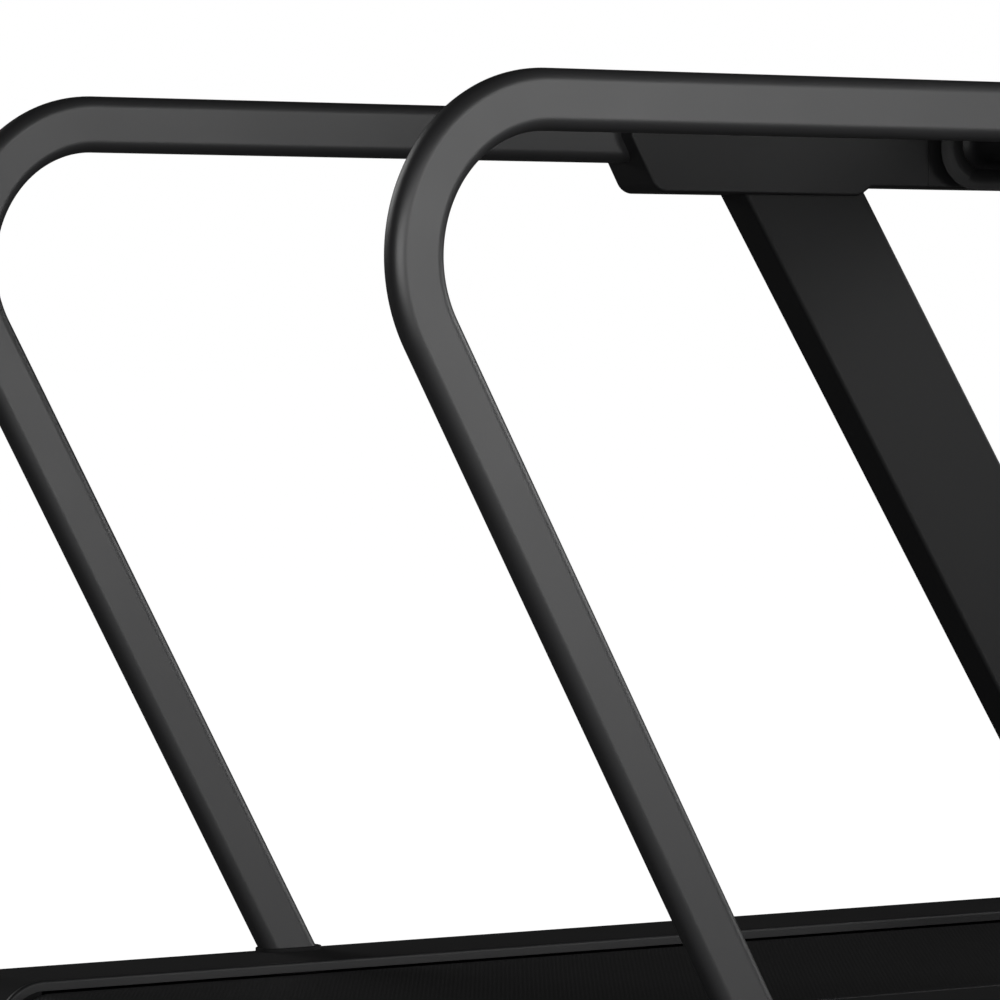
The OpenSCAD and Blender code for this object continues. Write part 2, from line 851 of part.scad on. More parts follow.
hood_edge_z = deck_h - tread_t;
hood_top = deck_h + 85;
hood_low = frame_top + 0.2;
nose_x = frame_x1 + 2;

module hood_outline(inset) {
  offset(r = 14 - inset) offset(delta = -14) polygon([
    [hood_x0, hood_edge_z - 20], [hood_x0, deck_h + 8], [hood_x0 + 42, deck_h + 36],
    [hood_x0 + 125, hood_top - 12], [motor_x, hood_top], [hood_x1 - 60, hood_top - 16],
    [hood_x1, hood_top - 85], [hood_x1, skirt_z + 14], [hood_x1 - 20, skirt_z], [nose_x, skirt_z],
    [nose_x, hood_edge_z - 20]
  ]);
}

module motor_hood() {
  color(blackish) difference() {
    along_y(-hood_y, 2 * hood_y) intersection() {
      hood_outline(0);
      union() {
        translate([hood_x0 + 0.2, hood_low]) square([2000, 400]);
        translate([nose_x, skirt_z]) square([400, 400]);
      }
    }
    along_y(-hood_y + cover_t, 2 * (hood_y - cover_t)) {
      hood_outline(cover_t);
      translate([hood_x0 - 5, hood_low - 5]) square([nose_x - hood_x0, 20]);
      translate([nose_x - 10, skirt_z - 2]) square([hood_x1 - cover_t - 10 - nose_x, hood_top - 150 - skirt_z]);
    }
    block([hood_x0 - 5, -tread_y - 3, hood_low - 5], [hood_x0 + 30, tread_y + 3, deck_h + 3]);
    block([hood_x1 - 8, inlet_y - inlet_w / 2, inlet_z0], [hood_x1 + 5, inlet_y + inlet_w / 2, inlet_z0 + inlet_h]);
  }
}

module belly_pan() {
  color(blackish) block([mount_x0 - 40, -wheel_y + 18, mount_z - 4], [frame_x1, wheel_y - 18, mount_z]);
}

cover_y0 = frame_y1 + 0.5;
cover_y1 = rail_y + mast_t / 2 + pass_gap + cover_t;
cover_x1 = frame_x1 + 2;
cover_r = 60;

// The side cover in plan, with a round front corner
module cover_plan(inset) {
  x0 = hood_x0 + inset;
  x1 = cover_x1 - inset;
  y1 = cover_y1 - inset;
  r = cover_r - inset;
  translate([x0, cover_y0 - inset]) square([x1 - r - x0, y1 - cover_y0 + inset]);
  translate([x0, cover_y0 - inset]) square([x1 - x0, y1 - r - cover_y0 + inset]);
  translate([x1 - r, y1 - r]) circle(r);
}

module mast_base_cover() {
  difference() {
    union() {
      intersection() {
        along_x(hood_x0, cover_x1 - hood_x0) {
          translate([cover_y0, skirt_z]) square([cover_y1 - cover_y0 - platform_r, deck_h - skirt_z]);
          translate([cover_y0, skirt_z]) square([cover_y1 - cover_y0, deck_h - skirt_z - platform_r]);
          translate([cover_y1 - platform_r, deck_h - platform_r]) circle(platform_r);
        }
        translate([0, 0, skirt_z]) linear_extrude(deck_h - skirt_z) cover_plan(0);
      }
      intersection() {
        mast_solid(pass_gap + cover_t);
        mast_slab(deck_h - 1, deck_h + 30);
      }
    }
    translate([0, 0, skirt_z - 1]) linear_extrude(deck_h - skirt_z + 1 - cover_t - 3) cover_plan(cover_t);
    mast_solid(pass_gap);
  }
}

module mast_base_covers() {
  color(blackish) both_sides() mast_base_cover();
}

// The bracket cover seen from the side. The rear face leans, and the bottom steps up behind the mast
module bracket_outline(inset) {
  i = inset;
  translate([bracket_x0 + 12, bracket_z + 12]) circle(12 - i);
  translate([step_x - 8, bracket_z + 8]) circle(8 - i);
  polygon([
    [bracket_x0 - 31 + i, bracket_top - i], [bracket_x0 - 31 + i, rail_z],
    [bracket_x0 + 0.75 + i, bracket_z + 7.9], [bracket_x0 + 12, bracket_z + i],
    [step_x - 8, bracket_z + i], [step_x - 2 - i, bracket_z + 2.5 + i], [step_x + 14 - i, arm_z + i],
    [seam_x + i, arm_z + i], [seam_x + i, bracket_top - i]
  ]);
}

module bracket_cover() {
  difference() {
    along_y(arm_y0, bracket_w) bracket_outline(0);
    along_y(arm_y0 + cover_t, bracket_w - 2 * cover_t) bracket_outline(cover_t);
    intersection() {
      mast_solid(pass_gap);
      mast_slab(mast_bottom_z, mast_top_z);
    }
    translate([bracket_x0 - 100, rail_y, rail_z]) rotate([90, 0, 90])
      linear_extrude(200) rotate(90) tube_section(pass_gap);
  }
}

module bracket_cover_left() {
  color(blackish) bracket_cover();
}

module bracket_cover_right() {
  color(blackish) mirror([0, 1, 0]) bracket_cover();
}

module console_arm() {
  difference() {
    block([seam_x + 0.4, arm_y0, arm_z], [arm_x1, arm_y1, bracket_top]);
    block([seam_x, arm_y0 + cover_t, arm_z + cover_t], [arm_x1 - cover_t, arm_y1 - cover_t, bracket_top - cover_t]);
  }
}

module console_arm_left() {
  color(blackish) console_arm();
}

module console_arm_right() {
  color(blackish) mirror([0, 1, 0]) console_arm();
}

module crossbar_section(grow) {
  translate([crossbar_x + crossbar_d / 2, (crossbar_z0 + crossbar_z1) / 2])
    soft_rect(crossbar_d + 2 * grow, crossbar_z1 - crossbar_z0 + 2 * grow, crossbar_r + grow);
}

module crossbar() {
  color(blackish) {
    along_y(-arm_y0, 2 * arm_y0) crossbar_section(0);
    both_sides() translate([crossbar_x - fillet_r, arm_y0 - fillet_r, crossbar_z0 + crossbar_r])
      linear_extrude(crossbar_z1 - crossbar_z0 - 2 * crossbar_r) difference() {
        square([fillet_r + 2, fillet_r]);
        circle(fillet_r);
      }
  }
}

grip_y = 150;
grip_l = 110;

module pulse_grips() {
  color(steel) both_sides() along_y(grip_y, grip_l) difference() {
    crossbar_section(1.2);
    crossbar_section(0);
    translate([crossbar_x + crossbar_d / 2, crossbar_z1]) square([8, 500], center = true);
  }
}

// ---------------------------------------------------------------- console

// Turns children to the console's face: X points away from the user, Z runs up the face
module at_console() {
  translate([console_x, 0, console_z]) rotate([0, console_lean, 0]) children();
}

module face_outline(grow) {
  translate([0, console_h / 2]) soft_rect(console_w + 2 * grow, console_h + 2 * grow, console_r + grow);
}

module console_base() {
  w = base_x1 - base_x0;
  h = base_z1 - base_z0;
  neck_y = console_w / 2 - 110;
  color(blackish) {
    difference() {
      along_y(-arm_y0, 2 * arm_y0) translate([base_x0 + w / 2, base_z0 + h / 2]) difference() {
        soft_rect(w, h, base_r);
        soft_rect(w - 2 * cover_t, h - 2 * cover_t, base_r - cover_t);
      }
      for (s = [-1, 1]) translate([cup_x, s * cup_y, base_z0 - 5]) cylinder(r = cup_r + 0.3, h = h + 10);
    }
    along_y(-neck_y, 2 * neck_y) polygon([
      [console_x - 8, base_z1 - 2], [console_x + 60, base_z1 - 2],
      [console_x + console_d * cos(console_lean), console_z - console_d * sin(console_lean) - 0.3],
      [console_x, console_z - 0.3]
    ]);
  }
}

module console_back() {
  color(blackish) at_console() difference() {
    along_x(0, console_d) face_outline(0);
    along_x(-1, console_d + 1 - cover_t) face_outline(-cover_t);
  }
}

module key_outline(y, z, w, h, r) {
  translate([y, z]) soft_rect(w, h, r);
}

module console_front() {
  color(charcoal) at_console() difference() {
    along_x(-face_t, face_t) face_outline(0);
    along_x(-face_t - 1, lens_t + 1.5) key_outline(0, display_z + display_h / 2, display_w, display_h, display_r);
    for (s = [-1, 1]) {
      along_x(-face_t - 1, face_t - 1) key_outline(s * key_y, key_z, key_w, key_h, 8);
      along_x(-face_t - 1, face_t + 2) key_outline(s * rocker_y, key_z + 10, rocker_w, rocker_h, 4);
    }
    rod_x(0, key_z, 14, -face_t - 1, 7);
  }
}

module display_lens() {
  color([0.02, 0.02, 0.03]) at_console() along_x(-face_t + 0.5, lens_t)
    key_outline(0, display_z + display_h / 2, display_w - 0.6, display_h - 0.6, display_r - 0.3);
}

module key(s) {
  at_console() along_x(-face_t - key_out, face_t - 2 - key_travel - slip_gap + key_out)
    key_outline(s * key_y, key_z, key_w - 2 * slip_gap, key_h - 2 * slip_gap, 8 - slip_gap);
}

module start_key() {
  color([0.10, 0.42, 0.20]) key(1);
}

module stop_key() {
  color([0.60, 0.08, 0.07]) key(-1);
}

module rocker(s) {
  at_console() {
    along_y(s * rocker_y - rocker_w / 2 + slip_gap, rocker_w - 2 * slip_gap) {
      translate([-face_t / 2, key_z + 10]) circle(rocker_r);
      translate([-face_t - 1, key_z + 10]) square([8, rocker_h - 6], center = true);
    }
  }
}

module speed_rocker() {
  color(blackish) rocker(-1);
}

module incline_rocker() {
  color(blackish) rocker(1);
}

module safety_key() {
  color([0.70, 0.10, 0.08]) at_console() {
    rod_x(0, key_z, 14 - slip_gap, -face_t - 5, 10.5);
    rod_x(0, key_z, 20, -face_t - 11, 6.5);
  }
}

module reading_ledge() {
  color(blackish) at_console() {
    block([-face_t - 38, -ledge_y, ledge_z], [-face_t, ledge_y, ledge_z + 5]);
    block([-face_t - 42, -ledge_y, ledge_z], [-face_t - 37, ledge_y, ledge_z + 16]);
  }
}

module cup_holders() {
  color(rubber_black) for (s = [-1, 1]) translate([cup_x, s * cup_y, 0]) difference() {
    union() {
      translate([0, 0, base_z1 - cup_depth]) cylinder(r = cup_r, h = cup_depth + 1);
      translate([0, 0, base_z1]) cylinder(r = cup_r + 6, h = 3);
    }
    translate([0, 0, base_z1 - cup_depth + cup_wall]) cylinder(r = cup_r - cup_wall, h = cup_depth + 5);
  }
}

// ---------------------------------------------------------------- power inlet

inlet_w = 96;
inlet_y = 24 + inlet_w / 2 - frame_y1;
inlet_z0 = skirt_z + 22;
inlet_h = 62;
socket_y = inlet_y - 20;
socket_z = inlet_z0 + inlet_h / 2;
switch_y = inlet_y + 26;
switch_w = 22;
switch_h = 30;

module power_inlet() {
  color(blackish) {
    difference() {
      union() {
        along_x(hood_x1, 3) translate([inlet_y, socket_z]) soft_rect(inlet_w + 12, inlet_h + 12, 6);
        along_x(hood_x1 - 28, 28) translate([socket_y, socket_z]) soft_rect(36, 32, 4);
        along_x(hood_x1 - 28, 28) translate([switch_y, socket_z]) soft_rect(switch_w + 8, switch_h + 8, 4);
      }
      along_x(hood_x1 - 20, 30) translate([socket_y, socket_z]) soft_rect(25, 17, 3);
      along_x(hood_x1 - 20, 30) translate([switch_y, socket_z]) square([switch_w, switch_h], center = true);
    }
    for (p = [[-7, -2], [7, -2], [0, 4]])
      along_x(hood_x1 - 22, 14) translate([socket_y + p[0], socket_z + p[1]]) square([2, 4], center = true);
  }
}

module power_rocker() {
  color(blackish) {
    along_y(switch_y - switch_w / 2 + slip_gap, switch_w - 2 * slip_gap) {
      translate([hood_x1 - 4, socket_z]) circle(6.5);
      translate([hood_x1 + 0.5, socket_z]) square([5, switch_h - 8], center = true);
    }
  }
}

module screw_head(x, y, z) {
  translate([x, y, z]) difference() {
    cylinder(r1 = 5, r2 = 3.6, h = 2.6);
    translate([0, 0, 1]) cylinder(r = 2, h = 2, $fn = 6);
  }
}

module cover_screws() {
  color(steel) both_sides() {
    for (x = [axle_x + 20, 0]) translate([x, platform_y, skirt_z + 20]) rotate([-90, 0, 0]) screw_head(0, 0, 0);
    screw_head(platform_x1 - 14, tread_y + 20, deck_h);
    screw_head(platform_x1 - 14, rail_y, deck_h);
    screw_head(cover_x1 - cover_r, frame_y1 + 40, deck_h);
    screw_head(motor_x, hood_y - 30, hood_top);
  }
}

// ---------------------------------------------------------------- assembly

side_rails();
crossmembers();
deck_board();
deck_cushions();
side_platform_left();
side_platform_right();
edge_bead_left();
edge_bead_right();
rear_end_cap_left();
rear_end_cap_right();
running_belt();
rear_axle();
tension_bolts();
handrail_left();
handrail_right();
leg_collars();
mast_left();
mast_right();
mast_base_covers();
bracket_cover_left();
bracket_cover_right();
console_arm_left();
console_arm_right();
crossbar();
pulse_grips();
console_base();
console_back();
console_front();
display_lens();
cup_holders();
reading_ledge();
motor_hood();
belly_pan();
motor_body();
motor_mount();
drive_belt();
motor_controller();
lift_motor();
power_inlet();
flange_bearings();
frame_bolts();
cover_screws();
front_roller();
roller_pulley();
rear_roller();
motor_shaft();
flywheel();
motor_pulley();
lift_frame();
lift_wheel_left();
lift_wheel_right();
lift_tube();
levelling_foot_left();
levelling_foot_right();
start_key();
stop_key();
speed_rocker();
incline_rocker();
safety_key();
power_rocker();
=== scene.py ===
# %% [markdown]
# # A treadmill with full-length handrails
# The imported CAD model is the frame: it gives every place and size. This lesson dresses it, piece by piece,
# with smooth meshes and with materials that are worked out from what the real ones are.

# %% Load the frame
import json
import math

import bmesh
import bpy
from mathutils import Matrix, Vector


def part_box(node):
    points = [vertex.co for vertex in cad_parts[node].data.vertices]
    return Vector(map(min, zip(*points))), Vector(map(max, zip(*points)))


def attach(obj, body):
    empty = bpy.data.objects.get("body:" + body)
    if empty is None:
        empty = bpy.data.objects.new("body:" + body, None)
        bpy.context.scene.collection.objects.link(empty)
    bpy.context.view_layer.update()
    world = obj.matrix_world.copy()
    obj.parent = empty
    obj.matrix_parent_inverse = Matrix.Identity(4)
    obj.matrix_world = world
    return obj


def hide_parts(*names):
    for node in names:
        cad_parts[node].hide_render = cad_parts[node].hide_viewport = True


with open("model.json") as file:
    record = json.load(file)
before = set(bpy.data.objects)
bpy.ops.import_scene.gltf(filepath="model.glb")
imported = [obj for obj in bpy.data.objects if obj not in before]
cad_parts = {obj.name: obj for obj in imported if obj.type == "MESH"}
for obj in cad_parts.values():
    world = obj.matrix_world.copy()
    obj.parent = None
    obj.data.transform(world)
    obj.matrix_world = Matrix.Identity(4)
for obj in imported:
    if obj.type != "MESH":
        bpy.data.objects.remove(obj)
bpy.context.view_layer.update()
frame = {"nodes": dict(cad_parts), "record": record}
nodes = frame["nodes"]
MM = 0.001
scene = bpy.context.scene

# %% [markdown]
# ## Colours and nodes
# Colours are written as sRGB hex values, as a paint chart gives them, and one function turns them to the
# linear values that a shader wants. One more function adds a node with its settings and its links.

# %% Colour and node helpers


def linear(hex_colour):
    """An sRGB hex colour as linear RGBA."""
    shares = [int(hex_colour[i:i + 2], 16) / 255 for i in (1, 3, 5)]
    curve = [s / 12.92 if s <= 0.04045 else ((s + 0.055) / 1.055) ** 2.4 for s in shares]
    return (*curve, 1.0)


def add_node(tree, kind, links=None, **settings):
    """Adds a node. settings are its properties, or its inputs by name; links join inputs to other outputs."""
    made = tree.nodes.new(kind)
    for name, value in settings.items():
        socket = name.replace("_", " ")
        if hasattr(made, name):
            setattr(made, name, value)
        else:
            made.inputs[socket].default_value = value
    for socket, output in (links or {}).items():
        tree.links.new(output, made.inputs[socket])
    return made


def new_material(name, colour, roughness, **settings):
    """A material with its main shader, and the tree and shader to build on."""
    material = bpy.data.materials.new(name)
    material.use_nodes = True
    tree = material.node_tree
    shader = tree.nodes["Principled BSDF"]
    shader.inputs["Base Color"].default_value = linear(colour)
    shader.inputs["Roughness"].default_value = roughness
    for socket, value in settings.items():
        shader.inputs[socket.replace("_", " ")].default_value = value
    return material, tree, shader


# %% [markdown]
# ## What every finish shares
# Paint and moulded plastic differ in colour and gloss, but each has a fine grain that catches light, a slow
# drift in gloss from handling, and a slight change of shade. One function builds those three from noise on
# Object coordinates. Its sizes are in millimetres, and a noise's scale is one over its size in metres.

# %% A grained finish


def grain(tree, shader, size, depth, dark, light, low, high, drift=140):
    """Grain of a size and depth in mm, two shades that drift together, and roughness from low to high."""
    place = add_node(tree, "ShaderNodeTexCoord").outputs["Object"]
    fine = add_node(tree, "ShaderNodeTexNoise", {"Vector": place}, Scale=1 / (size * MM), Detail=3.0)
    broad = add_node(tree, "ShaderNodeTexNoise", {"Vector": place}, Scale=1 / (drift * MM), Detail=4.0)
    shade = add_node(tree, "ShaderNodeMix", {"Factor": broad.outputs["Fac"]}, data_type="RGBA")
    colours = [socket for socket in shade.inputs if socket.type == "RGBA"]
    colours[0].default_value = linear(dark)
    colours[1].default_value = linear(light)
    colour_out = [socket for socket in shade.outputs if socket.type == "RGBA"][0]
    tree.links.new(colour_out, shader.inputs["Base Color"])
    gloss = add_node(tree, "ShaderNodeMapRange", {"Value": broad.outputs["Fac"]}, To_Min=low, To_Max=high)
    tree.links.new(gloss.outputs["Result"], shader.inputs["Roughness"])
    bump = add_node(tree, "ShaderNodeBump", {"Height": fine.outputs["Fac"]}, Distance=depth * MM,
                    Strength=1.0)
    tree.links.new(bump.outputs["Normal"], shader.inputs["Normal"])


def finish_of(name, dark, light, low, high, size, depth, **settings):
    """A whole painted or moulded finish."""
    material, tree, shader = new_material(name, dark, low, **settings)
    grain(tree, shader, size, depth, dark, light, low, high)
    return material


# %% [markdown]
# ## Paints and plastics
# Powder coat is melted powder: satin, with a shallow orange peel a few millimetres across. ABS from a
# spark-eroded mould has a fine even grain that spreads the light. Polypropylene platforms are duller still,
# with a grit that keeps shoes from slipping.

# %% Paints and plastics
# Powder-coated steel tube in charcoal: an even satin with a soft, slightly pebbled shine along each rounding
rail_paint = finish_of("powder_coat_charcoal", "#272728", "#2b2b2c", 0.38, 0.46, 2.5, 0.03,
                       Specular_IOR_Level=0.72)
# Powder-coated steel in black: the same peel, darker, so that flat faces fall off from grey to black
mast_paint = finish_of("powder_coat_black", "#141415", "#181819", 0.48, 0.56, 2.5, 0.03,
                       Specular_IOR_Level=0.36)
# Powder-coated chassis steel: matte black, because nobody sees it
frame_paint = finish_of("powder_coat_chassis", "#202021", "#262627", 0.55, 0.68, 2.0, 0.05)
# ABS from a spark-eroded mould: dark grey with a fine even grain
cover_plastic = finish_of("moulded_abs_black", "#161617", "#1a1a1b", 0.46, 0.55, 1.6, 0.04)
# ABS console face, a lighter grey than the covers round it
face_plastic = finish_of("moulded_abs_graphite", "#343538", "#3a3b3e", 0.40, 0.50, 1.6, 0.03)
# Polypropylene with a non-slip grit: almost no shine
platform_plastic = finish_of("polypropylene_black", "#0e0e0f", "#131314", 0.75, 0.90, 2.2, 0.12,
                             Specular_IOR_Level=0.25)
# Satin nylon edge bead, polished by shoes along its crown
bead_plastic = finish_of("nylon_bead_grey", "#19191a", "#1e1e1f", 0.42, 0.52, 3.0, 0.02,
                         Specular_IOR_Level=0.4)
# Natural rubber: black and dull
black_rubber = finish_of("moulded_rubber", "#131314", "#1a1a1b", 0.70, 0.85, 2.0, 0.08)
# Acetal key caps, moulded in colour
green_key = finish_of("acetal_green", "#1f6b39", "#24743f", 0.34, 0.42, 2.0, 0.02)
red_key = finish_of("acetal_red", "#a01c18", "#aa221d", 0.34, 0.42, 2.0, 0.02)
# Enamelled motor housing
motor_paint = finish_of("motor_enamel", "#3c3f43", "#44474b", 0.38, 0.50, 3.0, 0.04)
# Phenolic-faced beech plywood: brown film with a faint wax shine
phenolic_board = finish_of("phenolic_ply", "#4a2f1d", "#5a3a24", 0.30, 0.42, 6.0, 0.01)
print("paints and plastics", len(bpy.data.materials))

# %% [markdown]
# ## Metals
# Bare metal differs by how it was worked. Zinc plating is slightly cloudy, stainless strip is brushed along
# its length, cast iron is pitted and dark, and an extruded heat sink keeps the lines of its die.

# %% Metals


def metal(name, dark, light, low, high, size, depth):
    """A bare metal finish."""
    return finish_of(name, dark, light, low, high, size, depth, Metallic=1.0)


# Zinc-plated steel: pale grey, cloudy, with soft reflections
plated_steel = metal("zinc_plated_steel", "#a9abae", "#babcbe", 0.28, 0.42, 1.5, 0.01)
# Machined grey iron
cast_housing = metal("grey_iron", "#5b5c5e", "#6a6b6d", 0.50, 0.65, 1.2, 0.08)
# Extruded aluminium
heat_sink = metal("extruded_aluminium", "#b9bbbd", "#c6c8ca", 0.34, 0.48, 1.5, 0.02)

# Stainless strip, brushed across the bar: long fine scratches that stretch each highlight
stainless, tree, shader = new_material("brushed_stainless", "#b4b4b2", 0.3, Metallic=1.0, Anisotropic=0.6)
place = add_node(tree, "ShaderNodeTexCoord").outputs["Object"]
stretch = add_node(tree, "ShaderNodeMapping", {"Vector": place}, Scale=(900.0, 12.0, 900.0))
scratches = add_node(tree, "ShaderNodeTexNoise", {"Vector": stretch.outputs["Vector"]}, Scale=1.0, Detail=4.0)
gloss = add_node(tree, "ShaderNodeMapRange", {"Value": scratches.outputs["Fac"]}, To_Min=0.22, To_Max=0.42)
tree.links.new(gloss.outputs["Result"], shader.inputs["Roughness"])
bump = add_node(tree, "ShaderNodeBump", {"Height": scratches.outputs["Fac"]}, Distance=0.01 * MM,
                Strength=1.0)
tree.links.new(bump.outputs["Normal"], shader.inputs["Normal"])

# Display lens: smoked acrylic, black and glossy, with the slightly uneven shine that wiping leaves
display_gloss, tree, shader = new_material("smoked_acrylic", "#050506", 0.06, Coat_Weight=0.4)
place = add_node(tree, "ShaderNodeTexCoord").outputs["Object"]
dust = add_node(tree, "ShaderNodeTexNoise", {"Vector": place}, Scale=1 / (60 * MM), Detail=1.0)
gloss = add_node(tree, "ShaderNodeMapRange", {"Value": dust.outputs["Fac"]}, To_Min=0.07, To_Max=0.09)
tree.links.new(gloss.outputs["Result"], shader.inputs["Roughness"])

# %% [markdown]
# ## Running belt cover
# A treadmill belt is polyester weave with a black PVC cover that is embossed with small raised diamonds. The
# pattern follows the belt round its rollers, so it reads a UV map whose units are metres of belt. Real
# diamonds are about 4 mm across; they are drawn at 5.6 mm by 8 mm, the finest that still shows.

# %% Belt material
# Black PVC, dull, with fine slanting lines. Its colour carries painted shade, darkest in the grooves between
# the embossed diamonds and lightest on their crowns
DIAMOND_LONG, DIAMOND_WIDE, DIAMOND_DEEP = 5.6, 8, 0.5
belt_pvc, tree, shader = new_material("embossed_pvc", "#161617", 0.6, Specular_IOR_Level=0.3)
place = add_node(tree, "ShaderNodeUVMap", uv_map="belt").outputs["UV"]
split = add_node(tree, "ShaderNodeSeparateXYZ", {"Vector": place})
ridges = []
for sign in (1, -1):
    along = add_node(tree, "ShaderNodeMath", {0: split.outputs["X"]}, operation="MULTIPLY")
    along.inputs[1].default_value = 1 / (DIAMOND_LONG * MM)
    across = add_node(tree, "ShaderNodeMath", {0: split.outputs["Y"]}, operation="MULTIPLY")
    across.inputs[1].default_value = sign / (DIAMOND_WIDE * MM)
    both = add_node(tree, "ShaderNodeMath", {0: along.outputs[0], 1: across.outputs[0]}, operation="ADD")
    wave = add_node(tree, "ShaderNodeMath", {0: both.outputs[0]}, operation="PINGPONG")
    wave.inputs[1].default_value = 0.5
    ridges.append(wave.outputs[0])
height = add_node(tree, "ShaderNodeMath", {0: ridges[0], 1: ridges[1]}, operation="MULTIPLY")
# The diamonds' height sets their bump and also paints shade into the colour: dark in the grooves, light on
# the crowns
relief_and_painted_shade = add_node(tree, "ShaderNodeMapRange", {"Value": height.outputs[0]}, From_Max=0.25)
shade = add_node(tree, "ShaderNodeMix", {"Factor": relief_and_painted_shade.outputs["Result"]}, data_type="RGBA")
colours = [socket for socket in shade.inputs if socket.type == "RGBA"]
colours[0].default_value = linear("#060607")
colours[1].default_value = linear("#2c2c2d")
tree.links.new([s for s in shade.outputs if s.type == "RGBA"][0], shader.inputs["Base Color"])
bump = add_node(tree, "ShaderNodeBump", {"Height": relief_and_painted_shade.outputs["Result"]}, Distance=DIAMOND_DEEP * MM,
                Strength=1.0)
tree.links.new(bump.outputs["Normal"], shader.inputs["Normal"])

# %% [markdown]
# ## Dress the CAD nodes
# Each node takes the finish of its slot in the record. The nodes whose shape needs smooth edges are replaced
# further down, and their new pieces take the same slots.

# %% Finishes by slot
finishes = {
    "frame_paint": frame_paint, "rail_paint": rail_paint, "mast_paint": mast_paint,
    "cover_plastic": cover_plastic, "platform_plastic": platform_plastic, "bead_plastic": bead_plastic,
    "face_plastic": face_plastic, "display_gloss": display_gloss, "belt_pvc": belt_pvc,
    "phenolic_board": phenolic_board, "plated_steel": plated_steel, "stainless": stainless,
    "cast_housing": cast_housing, "heat_sink": heat_sink, "motor_paint": motor_paint,
    "black_rubber": black_rubber, "green_key": green_key, "red_key": red_key,
}
slot_of = {part["node"]: part["material_slot"] for part in frame["record"]["subparts"]}
body_of = {node: body for body, group in frame["record"]["behaviour"]["bodies"].items() for node in group}
for name, node in nodes.items():
    node.data.materials.clear()
    node.data.materials.append(finishes[slot_of[name]])
print("dressed", len(nodes), "nodes in", len(set(slot_of.values())), "finishes")

# %% [markdown]
# ## Tools for modelling
# New pieces start as a cube, plane or cylinder at its size and place. Edges and faces are then picked by
# where they are and which way they point, and rounded, cut or swept. Sizes here are in millimetres.

# %% Modelling helpers


def only(piece):
    """Selects one piece and nothing else."""
    bpy.ops.object.select_all(action="DESELECT")
    piece.select_set(True)
    bpy.context.view_layer.objects.active = piece


def settle(name):
    """Names the new primitive and puts its place and size in its mesh."""
    piece = bpy.context.object
    piece.name = piece.data.name = name
    bpy.ops.object.transform_apply(location=True, rotation=True, scale=True)
    return piece


def block(name, low, high):
    """A box from its lowest corner to its highest."""
    bpy.ops.object.select_all(action="DESELECT")
    size = [(b - a) * MM for a, b in zip(low, high)]
    middle = [(a + b) / 2 * MM for a, b in zip(low, high)]
    bpy.ops.mesh.primitive_cube_add(size=1, location=middle, scale=size)
    return settle(name)


def drum(name, middle, radius, length, axis="Z", sides=96):
    """A cylinder about an axis, with its middle at a point."""
    bpy.ops.object.select_all(action="DESELECT")
    turn = {"X": (0, math.pi / 2, 0), "Y": (math.pi / 2, 0, 0), "Z": (0, 0, 0)}[axis]
    bpy.ops.mesh.primitive_cylinder_add(vertices=sides, radius=radius * MM, depth=length * MM,
                                        location=[v * MM for v in middle], rotation=turn)
    return settle(name)


def pick(piece, kind, test):
    """Opens a piece in edit mode and selects what passes a test of its middle in mm and its way."""
    only(piece)
    bpy.ops.object.mode_set(mode="EDIT")
    bpy.ops.mesh.select_mode(type=kind)
    bpy.ops.mesh.select_all(action="DESELECT")
    mesh = bmesh.from_edit_mesh(piece.data)
    count = 0
    for part in {"VERT": mesh.verts, "EDGE": mesh.edges, "FACE": mesh.faces}[kind]:
        if kind == "VERT":
            middle, way = part.co, part.normal
        elif kind == "EDGE":
            ends = part.verts
            middle, way = (ends[0].co + ends[1].co) / 2, (ends[1].co - ends[0].co).normalized()
        else:
            middle, way = part.calc_center_median(), part.normal
        if test(middle / MM, way):
            part.select_set(True)
            count += 1
    mesh.select_flush_mode()
    bmesh.update_edit_mesh(piece.data)
    return count


def close():
    """Leaves edit mode, with the changes kept."""
    bpy.ops.object.mode_set(mode="OBJECT")


def soften(piece, radius, test, steps=4, affect="EDGES"):
    """Rounds the edges, or the corners, that pass the test."""
    if pick(piece, "VERT" if affect == "VERTICES" else "EDGE", test):
        bpy.ops.mesh.bevel(offset=radius * MM, segments=steps, profile=0.5, affect=affect)
    close()


def ease(piece, width, steps=3, angle=50):
    """Rounds every corner that is sharper than an angle, as a mould or a tumbling barrel does."""
    only(piece)
    rounding = piece.modifiers.new("rounding", "BEVEL")
    rounding.width, rounding.segments = width * MM, steps
    rounding.limit_method, rounding.angle_limit = "ANGLE", math.radians(angle)
    bpy.ops.object.modifier_apply(modifier=rounding.name)


def turn_about(piece, axis, angle, point):
    """Turns a whole piece about an axis through a point."""
    pick(piece, "FACE", lambda middle, way: True)
    bpy.ops.transform.rotate(value=angle, orient_axis=axis, center_override=Vector(point) * MM)
    close()


def wall(piece, thick):
    """Gives an open skin a wall of a thickness, inwards."""
    put_right(piece)
    only(piece)
    inner = piece.modifiers.new("wall", "SOLIDIFY")
    inner.thickness, inner.offset = thick * MM, -1
    bpy.ops.object.modifier_apply(modifier=inner.name)


def flatten(piece):
    """Joins the faces that lie in one plane."""
    pick(piece, "FACE", lambda middle, way: True)
    bpy.ops.mesh.dissolve_limited(angle_limit=math.radians(1))
    close()


def slice_off(piece, point, out, keep_both=False):
    """Cuts a piece at a plane through a point and takes off what lies on the out side."""
    pick(piece, "FACE", lambda middle, way: True)
    bpy.ops.mesh.bisect(plane_co=[v * MM for v in point], plane_no=out, use_fill=not keep_both,
                        clear_outer=not keep_both)
    close()


def along(way, axis, share=0.999):
    """Whether an edge or a face's normal runs along an axis."""
    return abs(way["XYZ".index(axis)]) > share


def carve(piece, cutter, operation="DIFFERENCE"):
    """Takes one shape out of another, or joins them, and removes the tool."""
    only(piece)
    tool = piece.modifiers.new("carve", "BOOLEAN")
    tool.object, tool.operation, tool.solver = cutter, operation, "EXACT"
    bpy.ops.object.modifier_apply(modifier=tool.name)
    bpy.data.objects.remove(cutter)
    return piece


